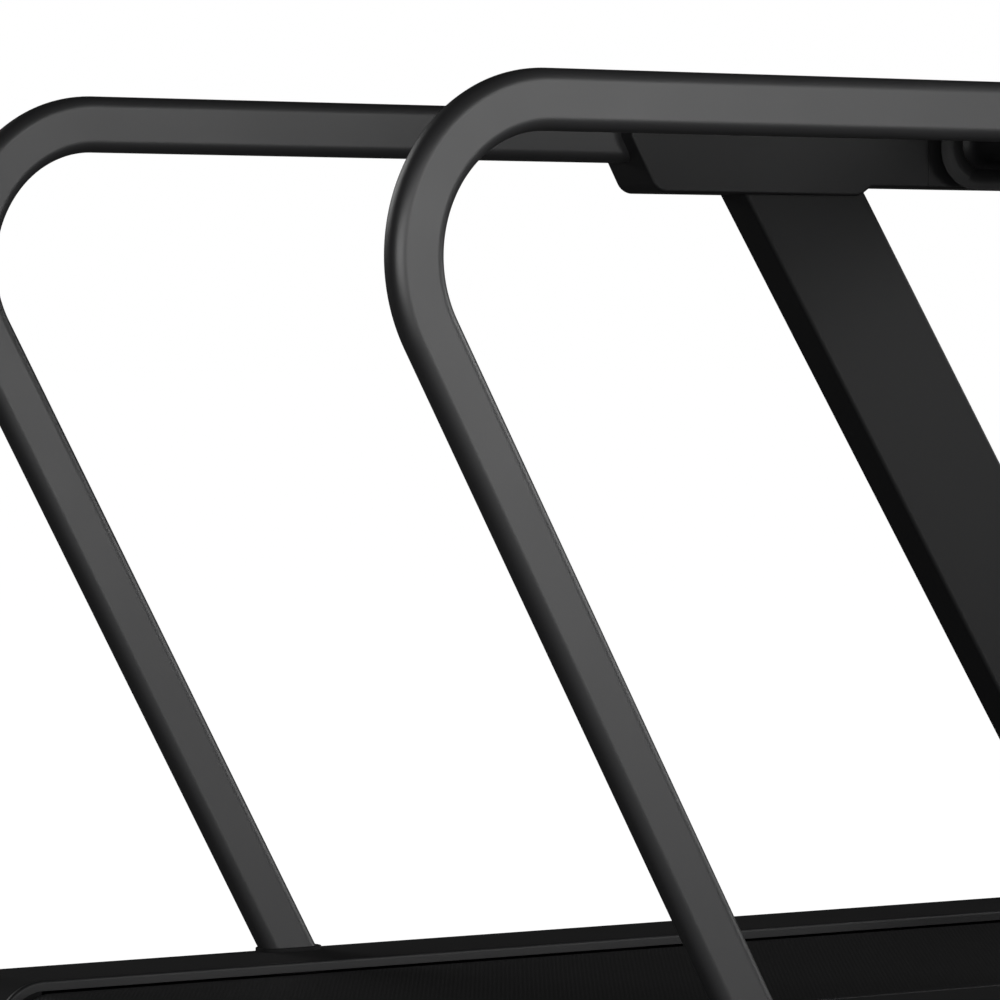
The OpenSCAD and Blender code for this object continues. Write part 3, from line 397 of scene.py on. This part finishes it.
def join(piece, *others):
    """Makes one object of several, with each shape as it was."""
    only(piece)
    for other in others:
        other.select_set(True)
    bpy.ops.object.join()
    return piece


def put_right(piece):
    """Merges doubles and turns every face outwards."""
    pick(piece, "VERT", lambda middle, way: True)
    bpy.ops.mesh.remove_doubles(threshold=0.01 * MM)
    bpy.ops.mesh.normals_make_consistent(inside=False)
    close()


def other_side(piece, name):
    """A copy for the right side, with its own mesh, mirrored across the machine's middle."""
    copy = bpy.data.objects.new(name, piece.data.copy())
    scene.collection.objects.link(copy)
    copy.data.name = name
    only(copy)
    copy.scale.y = -1
    bpy.ops.object.transform_apply(location=True, rotation=True, scale=True)
    put_right(copy)
    return copy


def complete(piece, node, smooth=35, finish=None):
    """Shades a piece, gives it a finish and its node's body, and lets it stand for that node."""
    put_right(piece)
    only(piece)
    bpy.ops.object.shade_smooth_by_angle(angle=math.radians(smooth))
    even = piece.modifiers.new("even", "WEIGHTED_NORMAL")
    even.keep_sharp = True
    bpy.ops.object.modifier_apply(modifier=even.name)
    piece.data.materials.clear()
    piece.data.materials.append(finish or finishes[slot_of[node]])
    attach(piece, body_of[node])
    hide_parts(node)
    print(piece.name, len(piece.data.polygons), "faces")


def complete_pair(piece, node_left, node_right):
    """Completes a left piece and its mirrored copy on the right."""
    right = other_side(piece, piece.name.replace("_l", "_r"))
    complete(piece, node_left)
    complete(right, node_right)


def edges(node):
    """A CAD node's lowest and highest corners in mm."""
    return [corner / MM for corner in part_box(node)]


# %% [markdown]
# ## Sweeping a section
# Handrails, edge beads and end caps are one section carried along straights and bends. The section is a plane
# whose corners are rounded, and it is extruded along each straight and spun round each bend, which keeps it
# true all the way.

# %% Sweep


def sweep(name, x, low, high, radius, path, rounded=lambda middle: True, steps=8):
    """Sweeps a rectangle in Y and Z at x, from low to high, along pushes and turns about Y."""
    bpy.ops.object.select_all(action="DESELECT")
    middle = (x * MM, (low[0] + high[0]) / 2 * MM, (low[1] + high[1]) / 2 * MM)
    bpy.ops.mesh.primitive_plane_add(size=1, location=middle, rotation=(0, math.pi / 2, 0))
    bpy.context.object.scale = ((high[1] - low[1]) * MM, (high[0] - low[0]) * MM, 1)
    piece = settle(name)
    soften(piece, radius, lambda middle, way: rounded(middle), steps, "VERTICES")
    pick(piece, "FACE", lambda middle, way: True)
    for move in path:
        if move[0] == "push":
            bpy.ops.mesh.extrude_region_move(TRANSFORM_OT_translate={"value": [v * MM for v in move[1]]})
        else:
            centre, angle, count = move[1:]
            bpy.ops.mesh.spin(steps=count, angle=math.radians(angle), center=[v * MM for v in centre],
                              axis=(0, 1, 0))
    close()
    put_right(piece)
    return piece


# %% [markdown]
# ## Handrails
# Each handrail is flat-oval steel tube, 60 by 30 mm, bent cold on a former. The level run, the bend of 150 mm
# radius and the leaning leg are one sweep.

# %% Handrails
LEG_LEAN = math.radians(29.4)
BEND_R, BEND_SETBACK, LEG_SINK = 150, 193, 90
TUBE_TALL, TUBE_CORNER = 60, 13.5
low, high = edges("handrail_left")
rear_x, front_x = edges("edge_bead_left")[0].x, edges("power_inlet")[1].x
deck_z = edges("side_platform_left")[1].z
rail_mid_z = high.z - TUBE_TALL / 2
bend_x, bend_z = rear_x + BEND_SETBACK, rail_mid_z - BEND_R
leg_way = Vector((math.sin(LEG_LEAN), 0, -math.cos(LEG_LEAN)))
leg_length = (bend_z - BEND_R * math.sin(LEG_LEAN) - (deck_z - LEG_SINK)) / math.cos(LEG_LEAN)
rail_path = [
    ("push", (bend_x - high.x, 0, 0)),
    ("turn", (bend_x, 0, bend_z), 90 + math.degrees(LEG_LEAN), 64),
    ("push", leg_way * leg_length),
]
rail = sweep("handrail_tube_l", high.x, (low.y, high.z - TUBE_TALL), (high.y, high.z), TUBE_CORNER, rail_path)
complete_pair(rail, "handrail_left", "handrail_right")

# %% [markdown]
# ## Collars at the feet of the legs
# A moulded oval plate covers the hole where the leg enters the platform. It is a plane with corners rounded
# to almost half its width, pushed up by its thickness and eased along its top edge. It is the same dull
# black as the platform.

# %% Collars
COLLAR_WIDE, COLLAR_CORNER = 38.6, 18
low, high = edges("leg_collars")
collars = []
for side in (1, -1):
    bpy.ops.object.select_all(action="DESELECT")
    middle = Vector(((low.x + high.x) / 2, side * (high.y - COLLAR_WIDE / 2), low.z))
    bpy.ops.mesh.primitive_plane_add(size=1, location=middle * MM)
    bpy.context.object.scale = ((high.x - low.x) * MM, COLLAR_WIDE * MM, 1)
    collar = settle("leg_collar")
    soften(collar, COLLAR_CORNER, lambda middle, way: True, 12, "VERTICES")
    pick(collar, "FACE", lambda middle, way: True)
    bpy.ops.mesh.extrude_region_move(TRANSFORM_OT_translate={"value": (0, 0, (high.z - low.z) * MM)})
    close()
    soften(collar, 1, lambda middle, way: middle.z > high.z - 0.1, 3)
    collars.append(collar)
complete(join(*collars), "leg_collars", finish=platform_plastic)

# %% [markdown]
# ## Masts
# A mast is rectangular tube, 150 by 50 mm with small corners, and it leans back 33 degrees. An upright block
# is rounded along its length, turned about its foot, and cut level at both ends. A plate and two tabs at the
# foot are welded on, and bolt to the frame.

# %% Masts
MAST_LEAN, MAST_DEEP, MAST_WIDE, MAST_SETBACK = math.radians(33), 150, 50, 418
MAST_BELOW, MAST_ABOVE = 400, 1400  # both ends are cut level, so the tube starts longer than it ends
PLATE_X, PLATE_Z, PLATE_LONG, PLATE_TALL, PLATE_THICK, TAB_LONG = 690, 100, 100, 85, 8, 50
low, high = edges("mast_left")
mast_x, rail_y = front_x - MAST_SETBACK, high.y - MAST_WIDE / 2
mast_foot = Vector((mast_x, rail_y, deck_z))
mast_half = Vector((MAST_DEEP / 2, MAST_WIDE / 2, 0))
mast = block("mast_tube_l", mast_foot - mast_half - Vector((0, 0, MAST_BELOW)),
             mast_foot + mast_half + Vector((0, 0, MAST_ABOVE)))
soften(mast, 5, lambda middle, way: along(way, "Z"), 5)
turn_about(mast, "Y", MAST_LEAN, mast_foot)
slice_off(mast, (0, 0, low.z), (0, 0, -1))
slice_off(mast, (0, 0, high.z), (0, 0, 1))
plate_low = Vector((PLATE_X, low.y, PLATE_Z))
plate = block("mast_plate", plate_low, plate_low + Vector((PLATE_LONG, PLATE_THICK, PLATE_TALL)))
soften(plate, 1, lambda middle, way: True, 2)
tab_y0, tab_y1 = low.y + 1, rail_y - MAST_WIDE / 2 + 2
foot = block("mast_foot", (PLATE_X, tab_y0, PLATE_Z), (PLATE_X + PLATE_LONG, tab_y1, PLATE_Z + PLATE_THICK))
head = block("mast_head", (PLATE_X, tab_y0, PLATE_Z + PLATE_TALL - PLATE_THICK),
             (PLATE_X + TAB_LONG, tab_y1, PLATE_Z + PLATE_TALL))
complete_pair(join(mast, plate, foot, head), "mast_left", "mast_right")

# %% [markdown]
# ## Bracket covers
# A two-part ABS shell hides where the handrail meets the mast, and runs on forward as the console's arm. Its
# rear face leans, its underside steps up in front of the mast, and every outer edge has the small rounding of
# a moulded shell. The seam between the two mouldings is two fine facing edges.

# %% Bracket covers
EDGE_ROUND, SPARE = 3.5, 12  # the shell is rounded with length to spare and then cut at the seam
REAR_SLANT, REAR_Z = 31.75, 7.9  # the rear face leans from this far in, this far up, to the handrail's middle
STEP_SETBACK, STEP_LONG = 100, 16  # the underside steps up over this length
low, high = edges("bracket_cover_left")
arm_low, arm_high = edges("console_arm_left")
step0 = high.x - STEP_SETBACK
step1 = step0 + STEP_LONG
bracket = block("bracket_shell_l", low, high + Vector((SPARE, 0, 0)))
slope = Vector((low.z + REAR_Z - rail_mid_z, 0, -REAR_SLANT)).normalized()
slice_off(bracket, (low.x + REAR_SLANT, 0, low.z + REAR_Z), slope)
for x in (step0, step1):
    slice_off(bracket, (x, 0, 0), (1, 0, 0), keep_both=True)
pick(bracket, "FACE", lambda middle, way: way.z < -0.9 and middle.x > step1)
bpy.ops.transform.translate(value=(0, 0, (arm_low.z - low.z) * MM))
close()
flatten(bracket)
soften(bracket, 12, lambda middle, way: along(way, "Y") and middle.x < (low.x + high.x) / 2
       and middle.z < low.z + 5, 8)
soften(bracket, 6, lambda middle, way: along(way, "Y") and abs(middle.x - step0) < 1
       and middle.z < low.z + 1, 6)
ease(bracket, EDGE_ROUND, 4)
slice_off(bracket, (high.x, 0, 0), (1, 0, 0))
complete_pair(bracket, "bracket_cover_left", "bracket_cover_right")

# %% [markdown]
# ## Console arms
# Each arm is the second moulding of the same shell, a plain box section from the seam to the console. It is
# rounded while it still reaches past the seam, and then cut, so that its end stays sharp against the bracket.

# %% Console arms
arm = block("console_arm_shell_l", arm_low - Vector((SPARE, 0, 0)), arm_high)
ease(arm, EDGE_ROUND, 4)
slice_off(arm, (arm_low.x, 0, 0), (-1, 0, 0))
complete_pair(arm, "console_arm_left", "console_arm_right")

# %% [markdown]
# ## Crossbar
# The bar between the arms is moulded in one with a flare at each end. A block is rounded along its length,
# and each end is then pushed out in short steps that grow by a quarter circle.

# %% Crossbar
FLARE, FLARE_STEPS = 20, 10
BAR_DEEP, BAR_TALL, FLARE_RISE = 60, 52, 14
low, high = edges("crossbar")
bar_x0 = high.x - BAR_DEEP
bar = block("crossbar_moulding", (bar_x0, low.y + FLARE, low.z), (high.x, high.y - FLARE, high.z))
soften(bar, 20, lambda middle, way: along(way, "Y"), 10)
bar_centre = Vector(((bar_x0 + high.x) / 2, 0, (low.z + high.z) / 2))
for side in (1, -1):
    pick(bar, "FACE", lambda middle, way: way.y * side > 0.9)
    for i in range(FLARE_STEPS):
        turn0, turn1 = [math.radians(90 * k / FLARE_STEPS) for k in (i, i + 1)]
        push = FLARE * (math.sin(turn1) - math.sin(turn0))
        grown0, grown1 = [1 - math.cos(turn) for turn in (turn0, turn1)]
        bpy.ops.mesh.extrude_region_move(TRANSFORM_OT_translate={"value": (0, side * push * MM, 0)})
        wide = (BAR_DEEP / 2 + FLARE * grown1) / (BAR_DEEP / 2 + FLARE * grown0)
        tall = (BAR_TALL / 2 + FLARE_RISE * grown1) / (BAR_TALL / 2 + FLARE_RISE * grown0)
        bpy.ops.transform.resize(value=(wide, 1, tall), center_override=bar_centre * MM)
    close()
complete(bar, "crossbar")

# %% [markdown]
# ## Side platforms
# The platform is a moulded tread and skirt with a 10 mm outer rounding. A block is rounded, its underside and
# inner side are taken off, and what is left gets the wall of a moulding.

# %% Platforms
PLATFORM_R, WALL = 10, 3
low, high = edges("side_platform_left")
platform = block("platform_moulding_l", low, high)
soften(platform, PLATFORM_R, lambda middle, way: along(way, "X") and middle.y > high.y - 0.1
       and middle.z > high.z - 0.1, 8)
pick(platform, "FACE", lambda middle, way: way.z < -0.9 or way.y < -0.9)
bpy.ops.mesh.delete(type="FACE")
close()
wall(platform, WALL)
complete_pair(platform, "side_platform_left", "side_platform_right")

# %% [markdown]
# ## Rear end caps and edge beads
# The rear end cap carries the platform's section down round the rear end. A satin nylon bead, 8 mm wide, runs
# along the inner edge and turns down with it. Both follow one path, so they stay level with each other.

# %% Rear end caps and beads
CAP_R, BEAD_WIDE, BEAD_TALL = 56.5, 8, 10.5
axle_x, cap_z, skirt_z = low.x, high.z - CAP_R, low.z
cap_path = [("turn", (axle_x, 0, cap_z), 90, 24), ("push", (0, 0, skirt_z - cap_z))]
cap = sweep("rear_cap_l", axle_x, (low.y, cap_z), (high.y, high.z), PLATFORM_R, cap_path,
            lambda middle: middle.y > high.y - 1 and middle.z > high.z - 1)
complete_pair(cap, "rear_end_cap_left", "rear_end_cap_right")

low, high = edges("edge_bead_left")
bead_path = [("push", (axle_x - high.x, 0, 0))] + cap_path
bead = sweep("bead_strip_l", high.x, (low.y, high.z - BEAD_TALL), (low.y + BEAD_WIDE, high.z), 3, bead_path,
             lambda middle: middle.z > high.z - 1, 5)
complete_pair(bead, "edge_bead_left", "edge_bead_right")

# %% [markdown]
# ## Running belt
# The belt is one closed loop: a strip pushed along the deck, spun round the front roller, pushed back and
# spun round the rear one. Its UV map is laid out by distance along the loop, so that the embossing runs on
# round the rollers without stretching.

# %% Belt
BELT_THICK = 2.5
low, high = edges("running_belt")
roller_z, outer_r = (low.z + high.z) / 2, (high.z - low.z) / 2
front_axle_x = high.x - outer_r
belt = sweep("belt_loop", axle_x, (low.y, high.z - BELT_THICK), (high.y, high.z), 0.6,
             [("push", (front_axle_x - axle_x, 0, 0)), ("turn", (front_axle_x, 0, roller_z), -180, 32),
              ("push", (axle_x - front_axle_x, 0, 0)), ("turn", (axle_x, 0, roller_z), -180, 32)], steps=2)
pick(belt, "FACE", lambda middle, way: along(way, "X") and abs(middle.x - axle_x) < 0.1
     and middle.z > roller_z)
bpy.ops.mesh.delete(type="ONLY_FACE")
close()
put_right(belt)


def along_belt(place):
    """Distance along the loop in metres, from the top of the rear roller."""
    x, z = place.x / MM, place.z / MM - roller_z
    if axle_x <= x <= front_axle_x:
        return (x if z > 0 else 2 * front_axle_x - x + math.pi * outer_r) * MM
    if x > front_axle_x:
        return (front_axle_x + math.atan2(x - front_axle_x, z) * outer_r) * MM
    return (axle_x - math.atan2(axle_x - x, z) * outer_r) * MM


layer = belt.data.uv_layers.active or belt.data.uv_layers.new()
layer.name = "belt"
for loop in belt.data.loops:
    spot = belt.data.vertices[loop.vertex_index].co
    layer.data[loop.index].uv = (along_belt(spot), spot.y)
complete(belt, "running_belt")

# %% [markdown]
# ## Console housing
# The console is an ABS box in two mouldings: a deep rear shell with soft corners, and a face with a recessed
# lens and pockets for the keys. Both are modelled upright and then leaned back together about the foot of
# the face, so that every pocket stays square to it.

# %% Console frame
CONSOLE_LEAN, CONSOLE_TALL, CONSOLE_CORNER = math.radians(20), 380, 40
FACE_THICK, SHELL_DEEP, KEY_LINE, BASE_DEEP, SPARE_GAP = 12, 70, 60, 120, 0.3
base_low = edges("console_base")[0]
base_x0, base_x1, base_z0, base_z1 = base_low.x, base_low.x + BASE_DEEP, base_low.z, arm_high.z - 6
face_foot = Vector((base_x0 + 50, 0, base_z1 + SHELL_DEEP * math.sin(CONSOLE_LEAN) + 4))
console_half = edges("console_front")[1].y


def leaned(piece):
    """Leans an upright console piece back about the foot of the face."""
    turn_about(piece, "Y", -CONSOLE_LEAN, face_foot)
    return piece


def on_face(name, x0, x1, y0, y1, z0, z1, corner=0, steps=10):
    """An upright plate at depth x0 to x1 behind the face line, with rounded corners in the face."""
    piece = block(name, face_foot + Vector((x0, y0, z0)), face_foot + Vector((x1, y1, z1)))
    if corner:
        soften(piece, corner, lambda middle, way: along(way, "X"), steps)
    return piece


# %% [markdown]
# ## Rear shell
# The shell is deep, with 16 mm roundings at the back, and its slots let the electronics' heat out. They are
# cut 3 mm deep with soft corners, near the top, where the warm air gathers.

# %% Rear shell
VENTS, VENT_HALF, VENT_LOW, VENT_TALL, VENT_PITCH = 8, 110, 230, 6, 14
shell = on_face("console_shell", 0, SHELL_DEEP, -console_half, console_half, 0, CONSOLE_TALL,
                CONSOLE_CORNER, 14)
soften(shell, 16, lambda middle, way: middle.x > face_foot.x + SHELL_DEEP - 0.1, 6)
vents = []
for i in range(VENTS):
    z = VENT_LOW + VENT_PITCH * i
    vents.append(on_face("vent", SHELL_DEEP - 3, SHELL_DEEP + 4, -VENT_HALF, VENT_HALF,
                         z, z + VENT_TALL, 2, 3))
complete(leaned(carve(shell, join(*vents))), "console_back")

# %% [markdown]
# ## Console face
# The face is a thinner moulding in a lighter grey. Each thing that sits in it has its own pocket, a little
# larger than the piece, so that a fine dark line runs round the lens and every key.

# %% Console face
DISPLAY_LOW, DISPLAY_TALL, DISPLAY_SIDE = 140, 205, 50
display_half = console_half - DISPLAY_SIDE
ROCKER_Y = console_half - 45
KEY_Y = round(0.42 * ROCKER_Y)
face = on_face("console_face", -FACE_THICK, 0, -console_half, console_half, 0, CONSOLE_TALL,
               CONSOLE_CORNER, 14)
soften(face, 3, lambda middle, way: middle.x < face_foot.x - FACE_THICK + 0.1, 4)
pockets = [on_face("pocket", -FACE_THICK - 1, -FACE_THICK + 3.5, -display_half, display_half,
                   DISPLAY_LOW, DISPLAY_LOW + DISPLAY_TALL, 10)]
for side in (-1, 1):
    y = side * KEY_Y
    pockets.append(on_face("pocket", -FACE_THICK - 1, -2, y - 30, y + 30, KEY_LINE - 15, KEY_LINE + 15, 8))
    y = side * ROCKER_Y
    pockets.append(on_face("pocket", -FACE_THICK - 1, -1, y - 13, y + 13, KEY_LINE - 17, KEY_LINE + 37, 4))
pockets.append(drum("pocket", face_foot + Vector((-FACE_THICK + 2, 0, KEY_LINE)), 14, 8, "X", 48))
for pocket in pockets:
    carve(face, pocket)
complete(leaned(face), "console_front")

# %% [markdown]
# ## Lens and reading ledge
# The lens is a 3 mm sheet of smoked acrylic that drops into its pocket with 0.3 mm to spare. The ledge below
# it holds a book or a telephone: a shelf with a raised lip at its outer edge, joined into one moulding.

# %% Lens and ledge
lens_half = display_half - SPARE_GAP
lens = on_face("smoked_lens", -FACE_THICK + 0.5, -FACE_THICK + 3.5, -lens_half, lens_half,
               DISPLAY_LOW + SPARE_GAP, DISPLAY_LOW + DISPLAY_TALL - SPARE_GAP, 9.7)
ease(lens, 0.6, 2)
complete(leaned(lens), "display_lens")

LEDGE_Z, LEDGE_DEEP, LEDGE_THICK, LIP_TALL = 112, 42, 5, 16
ledge_y = console_half - 90
ledge_x = -FACE_THICK - LEDGE_DEEP
ledge = on_face("ledge_shelf", ledge_x, -FACE_THICK, -ledge_y, ledge_y, LEDGE_Z, LEDGE_Z + LEDGE_THICK)
lip = on_face("ledge_lip", ledge_x, ledge_x + LEDGE_THICK, -ledge_y, ledge_y, LEDGE_Z, LEDGE_Z + LIP_TALL)
carve(ledge, lip, "UNION")
ease(ledge, 1.5, 3)
complete(leaned(ledge), "reading_ledge")

# %% [markdown]
# ## Start and stop keys
# The two main keys are acetal caps with soft edges, green to start and red to stop. Each has a shallow mark
# cut into its top, a triangle or a square, so that a thumb can tell them apart.

# %% Keys
KEY_HALF_WIDE, KEY_HALF_TALL, KEY_PROUD = 29.5, 14.5, 5


def key_cap(name, side, node, sides, turn):
    """A key with soft edges and an engraved mark: a triangle to start, a square to stop."""
    y = side * KEY_Y
    key = on_face(name, -FACE_THICK - KEY_PROUD, -FACE_THICK + 7.5, y - KEY_HALF_WIDE, y + KEY_HALF_WIDE,
                  KEY_LINE - KEY_HALF_TALL, KEY_LINE + KEY_HALF_TALL, 7.5)
    ease(key, 1.2, 3)
    top = face_foot + Vector((-FACE_THICK - KEY_PROUD, y, KEY_LINE))
    mark = drum("mark", top, 8, 1.4, "X", sides)
    turn_about(mark, "X", turn, top)
    complete(leaned(carve(key, mark)), node)


key_cap("start_key_cap", 1, "start_key", 3, math.radians(90))
key_cap("stop_key_cap", -1, "stop_key", 4, math.radians(45))

# %% [markdown]
# ## Console base and cup holders
# The base is a shelf between the arms with a neck that the console stands on. Its two wells are bored
# through, and a moulded cup with a wide rim drops into each.

# %% Console base and cup holders
base = block("console_base_moulding", (base_x0, -arm_low.y, base_z0), (base_x1, arm_low.y, base_z1))
soften(base, 15, lambda middle, way: along(way, "Y"), 8)
CUP_R, CUP_WALL, CUP_DEEP = 40, 3, 85
cup_x, cup_y = (base_x0 + base_x1) / 2, arm_low.y - CUP_R - 10
for side in (1, -1):
    carve(base, drum("well", (cup_x, side * cup_y, (base_z0 + base_z1) / 2), CUP_R + SPARE_GAP, 100))
neck_y = console_half - 110
neck = block("neck", (face_foot.x - 8, -neck_y, base_z1 - 2),
             (face_foot.x + 60, neck_y, face_foot.z - SPARE_GAP))
slice_off(neck, face_foot - Vector((0, 0, SPARE_GAP)), (math.sin(CONSOLE_LEAN), 0, math.cos(CONSOLE_LEAN)))
ease(neck, 2, 3)
complete(join(base, neck), "console_base")

cups = []
for side in (1, -1):
    cup = drum("cup_insert", (cup_x, side * cup_y, base_z1 - CUP_DEEP / 2 + 0.5), CUP_R, CUP_DEEP + 1)
    carve(cup, drum("rim", (cup_x, side * cup_y, base_z1 + 1.5), CUP_R + 6, 3), "UNION")
    carve(cup, drum("hollow", (cup_x, side * cup_y, base_z1 + CUP_WALL), CUP_R - CUP_WALL, 2 * CUP_DEEP))
    ease(cup, 1, 3)
    cups.append(cup)
complete(join(*cups), "cup_holders")

# %% [markdown]
# ## Motor hood
# The hood is one vacuum-formed ABS shell. A block is cut by the slopes of its profile, the long edges are
# rounded, the underside is opened and the skin is given its 3 mm. Cooling slots are cut through the nose.

# %% Motor hood
low, high = edges("motor_hood")
low_nose, under = low.z, edges("side_rails")[1].z + 0.2
nose_x = edges("side_rails")[1].x + 2
motor_x = front_x - 200
profile = [(low.x, deck_z + 8), (low.x + 42, deck_z + 36), (low.x + 125, high.z - 12), (motor_x, high.z),
           (high.x - 60, high.z - 16), (high.x, high.z - 85)]
hood = block("hood_shell", low, high)
for (x0, z0), (x1, z1) in zip(profile, profile[1:]):
    slice_off(hood, (x0, 0, z0), Vector((z0 - z1, 0, x1 - x0)).normalized())
slice_off(hood, (nose_x, 0, 0), (1, 0, 0), keep_both=True)
pick(hood, "FACE", lambda middle, way: way.z < -0.9 and middle.x < nose_x)
bpy.ops.transform.translate(value=(0, 0, (under - low_nose) * MM))
close()
flatten(hood)
soften(hood, 14, lambda middle, way: along(way, "Y") and middle.z > deck_z + 1, 6)
soften(hood, 7, lambda middle, way: not along(way, "Y", 0.5) and abs(middle.y) > high.y - 0.1
       and middle.z > under + 1 and abs(middle.x - nose_x) > 1, 5)
pick(hood, "FACE", lambda middle, way: way.z < -0.9 or (way.x < -0.9 and middle.x > nose_x - 1))
bpy.ops.mesh.delete(type="FACE")
close()
wall(hood, WALL)
tread_y = edges("side_platform_left")[0].y
carve(hood, block("belt_mouth", (low.x - 5, -tread_y - 3, under - 5), (low.x + 30, tread_y + 3, deck_z + 3)))
inlet_low, inlet_high = edges("power_inlet")
carve(hood, block("inlet_hole", (high.x - 8, inlet_low.y + 6, inlet_low.z + 6),
                  (high.x + 5, inlet_high.y - 6, inlet_high.z - 6)))
SLOT_SPAN, SLOT_PITCH, SLOT_WIDE = 160, 20, 7
slots = [block("slot", (high.x - 8, y, deck_z - 75), (high.x + 5, y + SLOT_WIDE, deck_z - 25))
         for y in range(-SLOT_SPAN, SLOT_SPAN + 1, SLOT_PITCH)]
for slot in slots:
    soften(slot, 3.4, lambda middle, way: along(way, "X"), 4)
carve(hood, join(*slots))
complete(hood, "motor_hood")

# %% [markdown]
# ## Side covers
# Each cover is ABS and carries the platform's section round a large front corner. A cuff hides the joint with
# the mast: it is a rounded block, leaned with the mast and cut level at the top.

# %% Side covers
COVER_CORNER, CUFF_RIM, CUFF_LONG = 60, 4, 180
low, high = edges("mast_base_covers")
cover = block("side_cover_l", (low.x, edges("side_rails")[1].y + 0.5, low.z), (high.x, high.y, deck_z))
soften(cover, COVER_CORNER, lambda middle, way: along(way, "Z") and middle.x > high.x - 1
       and middle.y > high.y - 1, 16)
soften(cover, PLATFORM_R, lambda middle, way: middle.z > deck_z - 0.1
       and middle.y > high.y - COVER_CORNER - 0.1 and middle.x > low.x + 1
       and (middle.y > high.y - 1 or middle.x > high.x - COVER_CORNER - 0.1), 6)
cuff_half = mast_half + Vector((CUFF_RIM, CUFF_RIM, 0))
cuff = block("mast_cuff", mast_foot - cuff_half - Vector((0, 0, CUFF_LONG / 3)),
             mast_foot + cuff_half + Vector((0, 0, CUFF_LONG * 2 / 3)))
soften(cuff, 9, lambda middle, way: along(way, "Z"), 6)
turn_about(cuff, "Y", MAST_LEAN, mast_foot)
slice_off(cuff, (0, 0, high.z), (0, 0, 1))
slice_off(cuff, (0, 0, deck_z - 3), (0, 0, -1))
soften(cuff, 1.2, lambda middle, way: middle.z > high.z - 0.1, 3)
cover = join(cover, cuff)
cover_r = other_side(cover, "side_cover_r")
complete(join(cover, cover_r), "mast_base_covers")

# %% [markdown]
# ## Floor and light
# The floor and the backdrop are seen as one seamless white, but the light that bounces from the floor is a
# mid grey's, so undersides stay dark. Level panels stand on the machine's right, so faces that look up or
# down fall into the dark, and the wide one behind draws a bright band round each bend. Weaker lights show
# the other sides.

# %% Stage
bpy.ops.object.select_all(action="DESELECT")
bpy.ops.mesh.primitive_plane_add(size=200, location=(0, 0, 0))
floor = bpy.context.object
floor.name = "studio_floor"
floor_paint, tree, shader = new_material("floor_paint", "#6c6c6c", 0.9)
shader.inputs["Specular IOR Level"].default_value = 0.0
shader.inputs["Emission Color"].default_value = (1, 1, 1, 1)
seen = add_node(tree, "ShaderNodeLightPath").outputs["Is Camera Ray"]
tree.links.new(seen, shader.inputs["Emission Strength"])
floor.data.materials.append(floor_paint)

AMBIENT = 0.01
world = bpy.data.worlds.new("studio")
scene.world = world
world.use_nodes = True
tree = world.node_tree
backdrop = tree.nodes["Background"]
backdrop.inputs["Color"].default_value = (1, 1, 1, 1)
seen = add_node(tree, "ShaderNodeLightPath").outputs["Is Camera Ray"]
strength = add_node(tree, "ShaderNodeMapRange", {"Value": seen}, To_Min=AMBIENT, To_Max=1.0)
tree.links.new(strength.outputs["Result"], backdrop.inputs["Strength"])
scene.view_settings.view_transform = "Standard"


def soft_light(name, place, aim, width, height, power):
    """A level panel of a width and height at a place, turned to a point. Everything is in metres."""
    data = bpy.data.lights.new(name, "AREA")
    data.shape, data.size, data.size_y, data.energy = "RECTANGLE", width, height, power
    lamp = bpy.data.objects.new(name, data)
    scene.collection.objects.link(lamp)
    lamp.location = place
    lamp.rotation_euler = (Vector(aim) - Vector(place)).to_track_quat("-Z", "Y").to_euler()
    lamp.visible_camera = False
    return lamp


# Each panel's place and aim, its width and height, and its power in watts
soft_light("side_panel", (2.2, -5.8, 1.5), (-0.2, 0, 1.0), 2.6, 2.6, 98)
soft_light("broad_panel", (-1.0, -6.7, 1.6), (-0.3, 0, 0.9), 2.0, 2.0, 38)
soft_light("rear_side_panel", (-5.2, -6.0, 1.3), (-0.6, 0, 1.0), 7.0, 1.8, 270)
soft_light("far_side_panel", (-3.0, 6.0, 3.5), (0, 0, 0.7), 3.0, 3.0, 90)
soft_light("front_panel", (6.2, -1.5, 3.0), (0.4, 0, 0.8), 3.0, 3.0, 130)
print("lights", len(bpy.data.lights))

# %% [markdown]
# ## Camera
# A long lens from the rear right, a little above the handrails' bends and nearly level. It is set well back,
# so that the two handrails stay almost the same size.

# %% Camera
CAMERA_AT = Vector((-4.0861, -4.9700, 0.8990))
CAMERA_LOOK = Vector((0.57215, 0.81964, -0.02901))
SENSOR, LENS = 36, 211.1
camera_data = bpy.data.cameras.new("camera")
camera_data.sensor_width = SENSOR
camera_data.lens = LENS
camera_data.clip_end = 400
camera = bpy.data.objects.new("camera", camera_data)
scene.collection.objects.link(camera)
camera.location = CAMERA_AT
camera.rotation_euler = CAMERA_LOOK.to_track_quat("-Z", "Y").to_euler()
scene.camera = camera
print("camera", [round(v, 2) for v in camera.location], "lens", LENS)
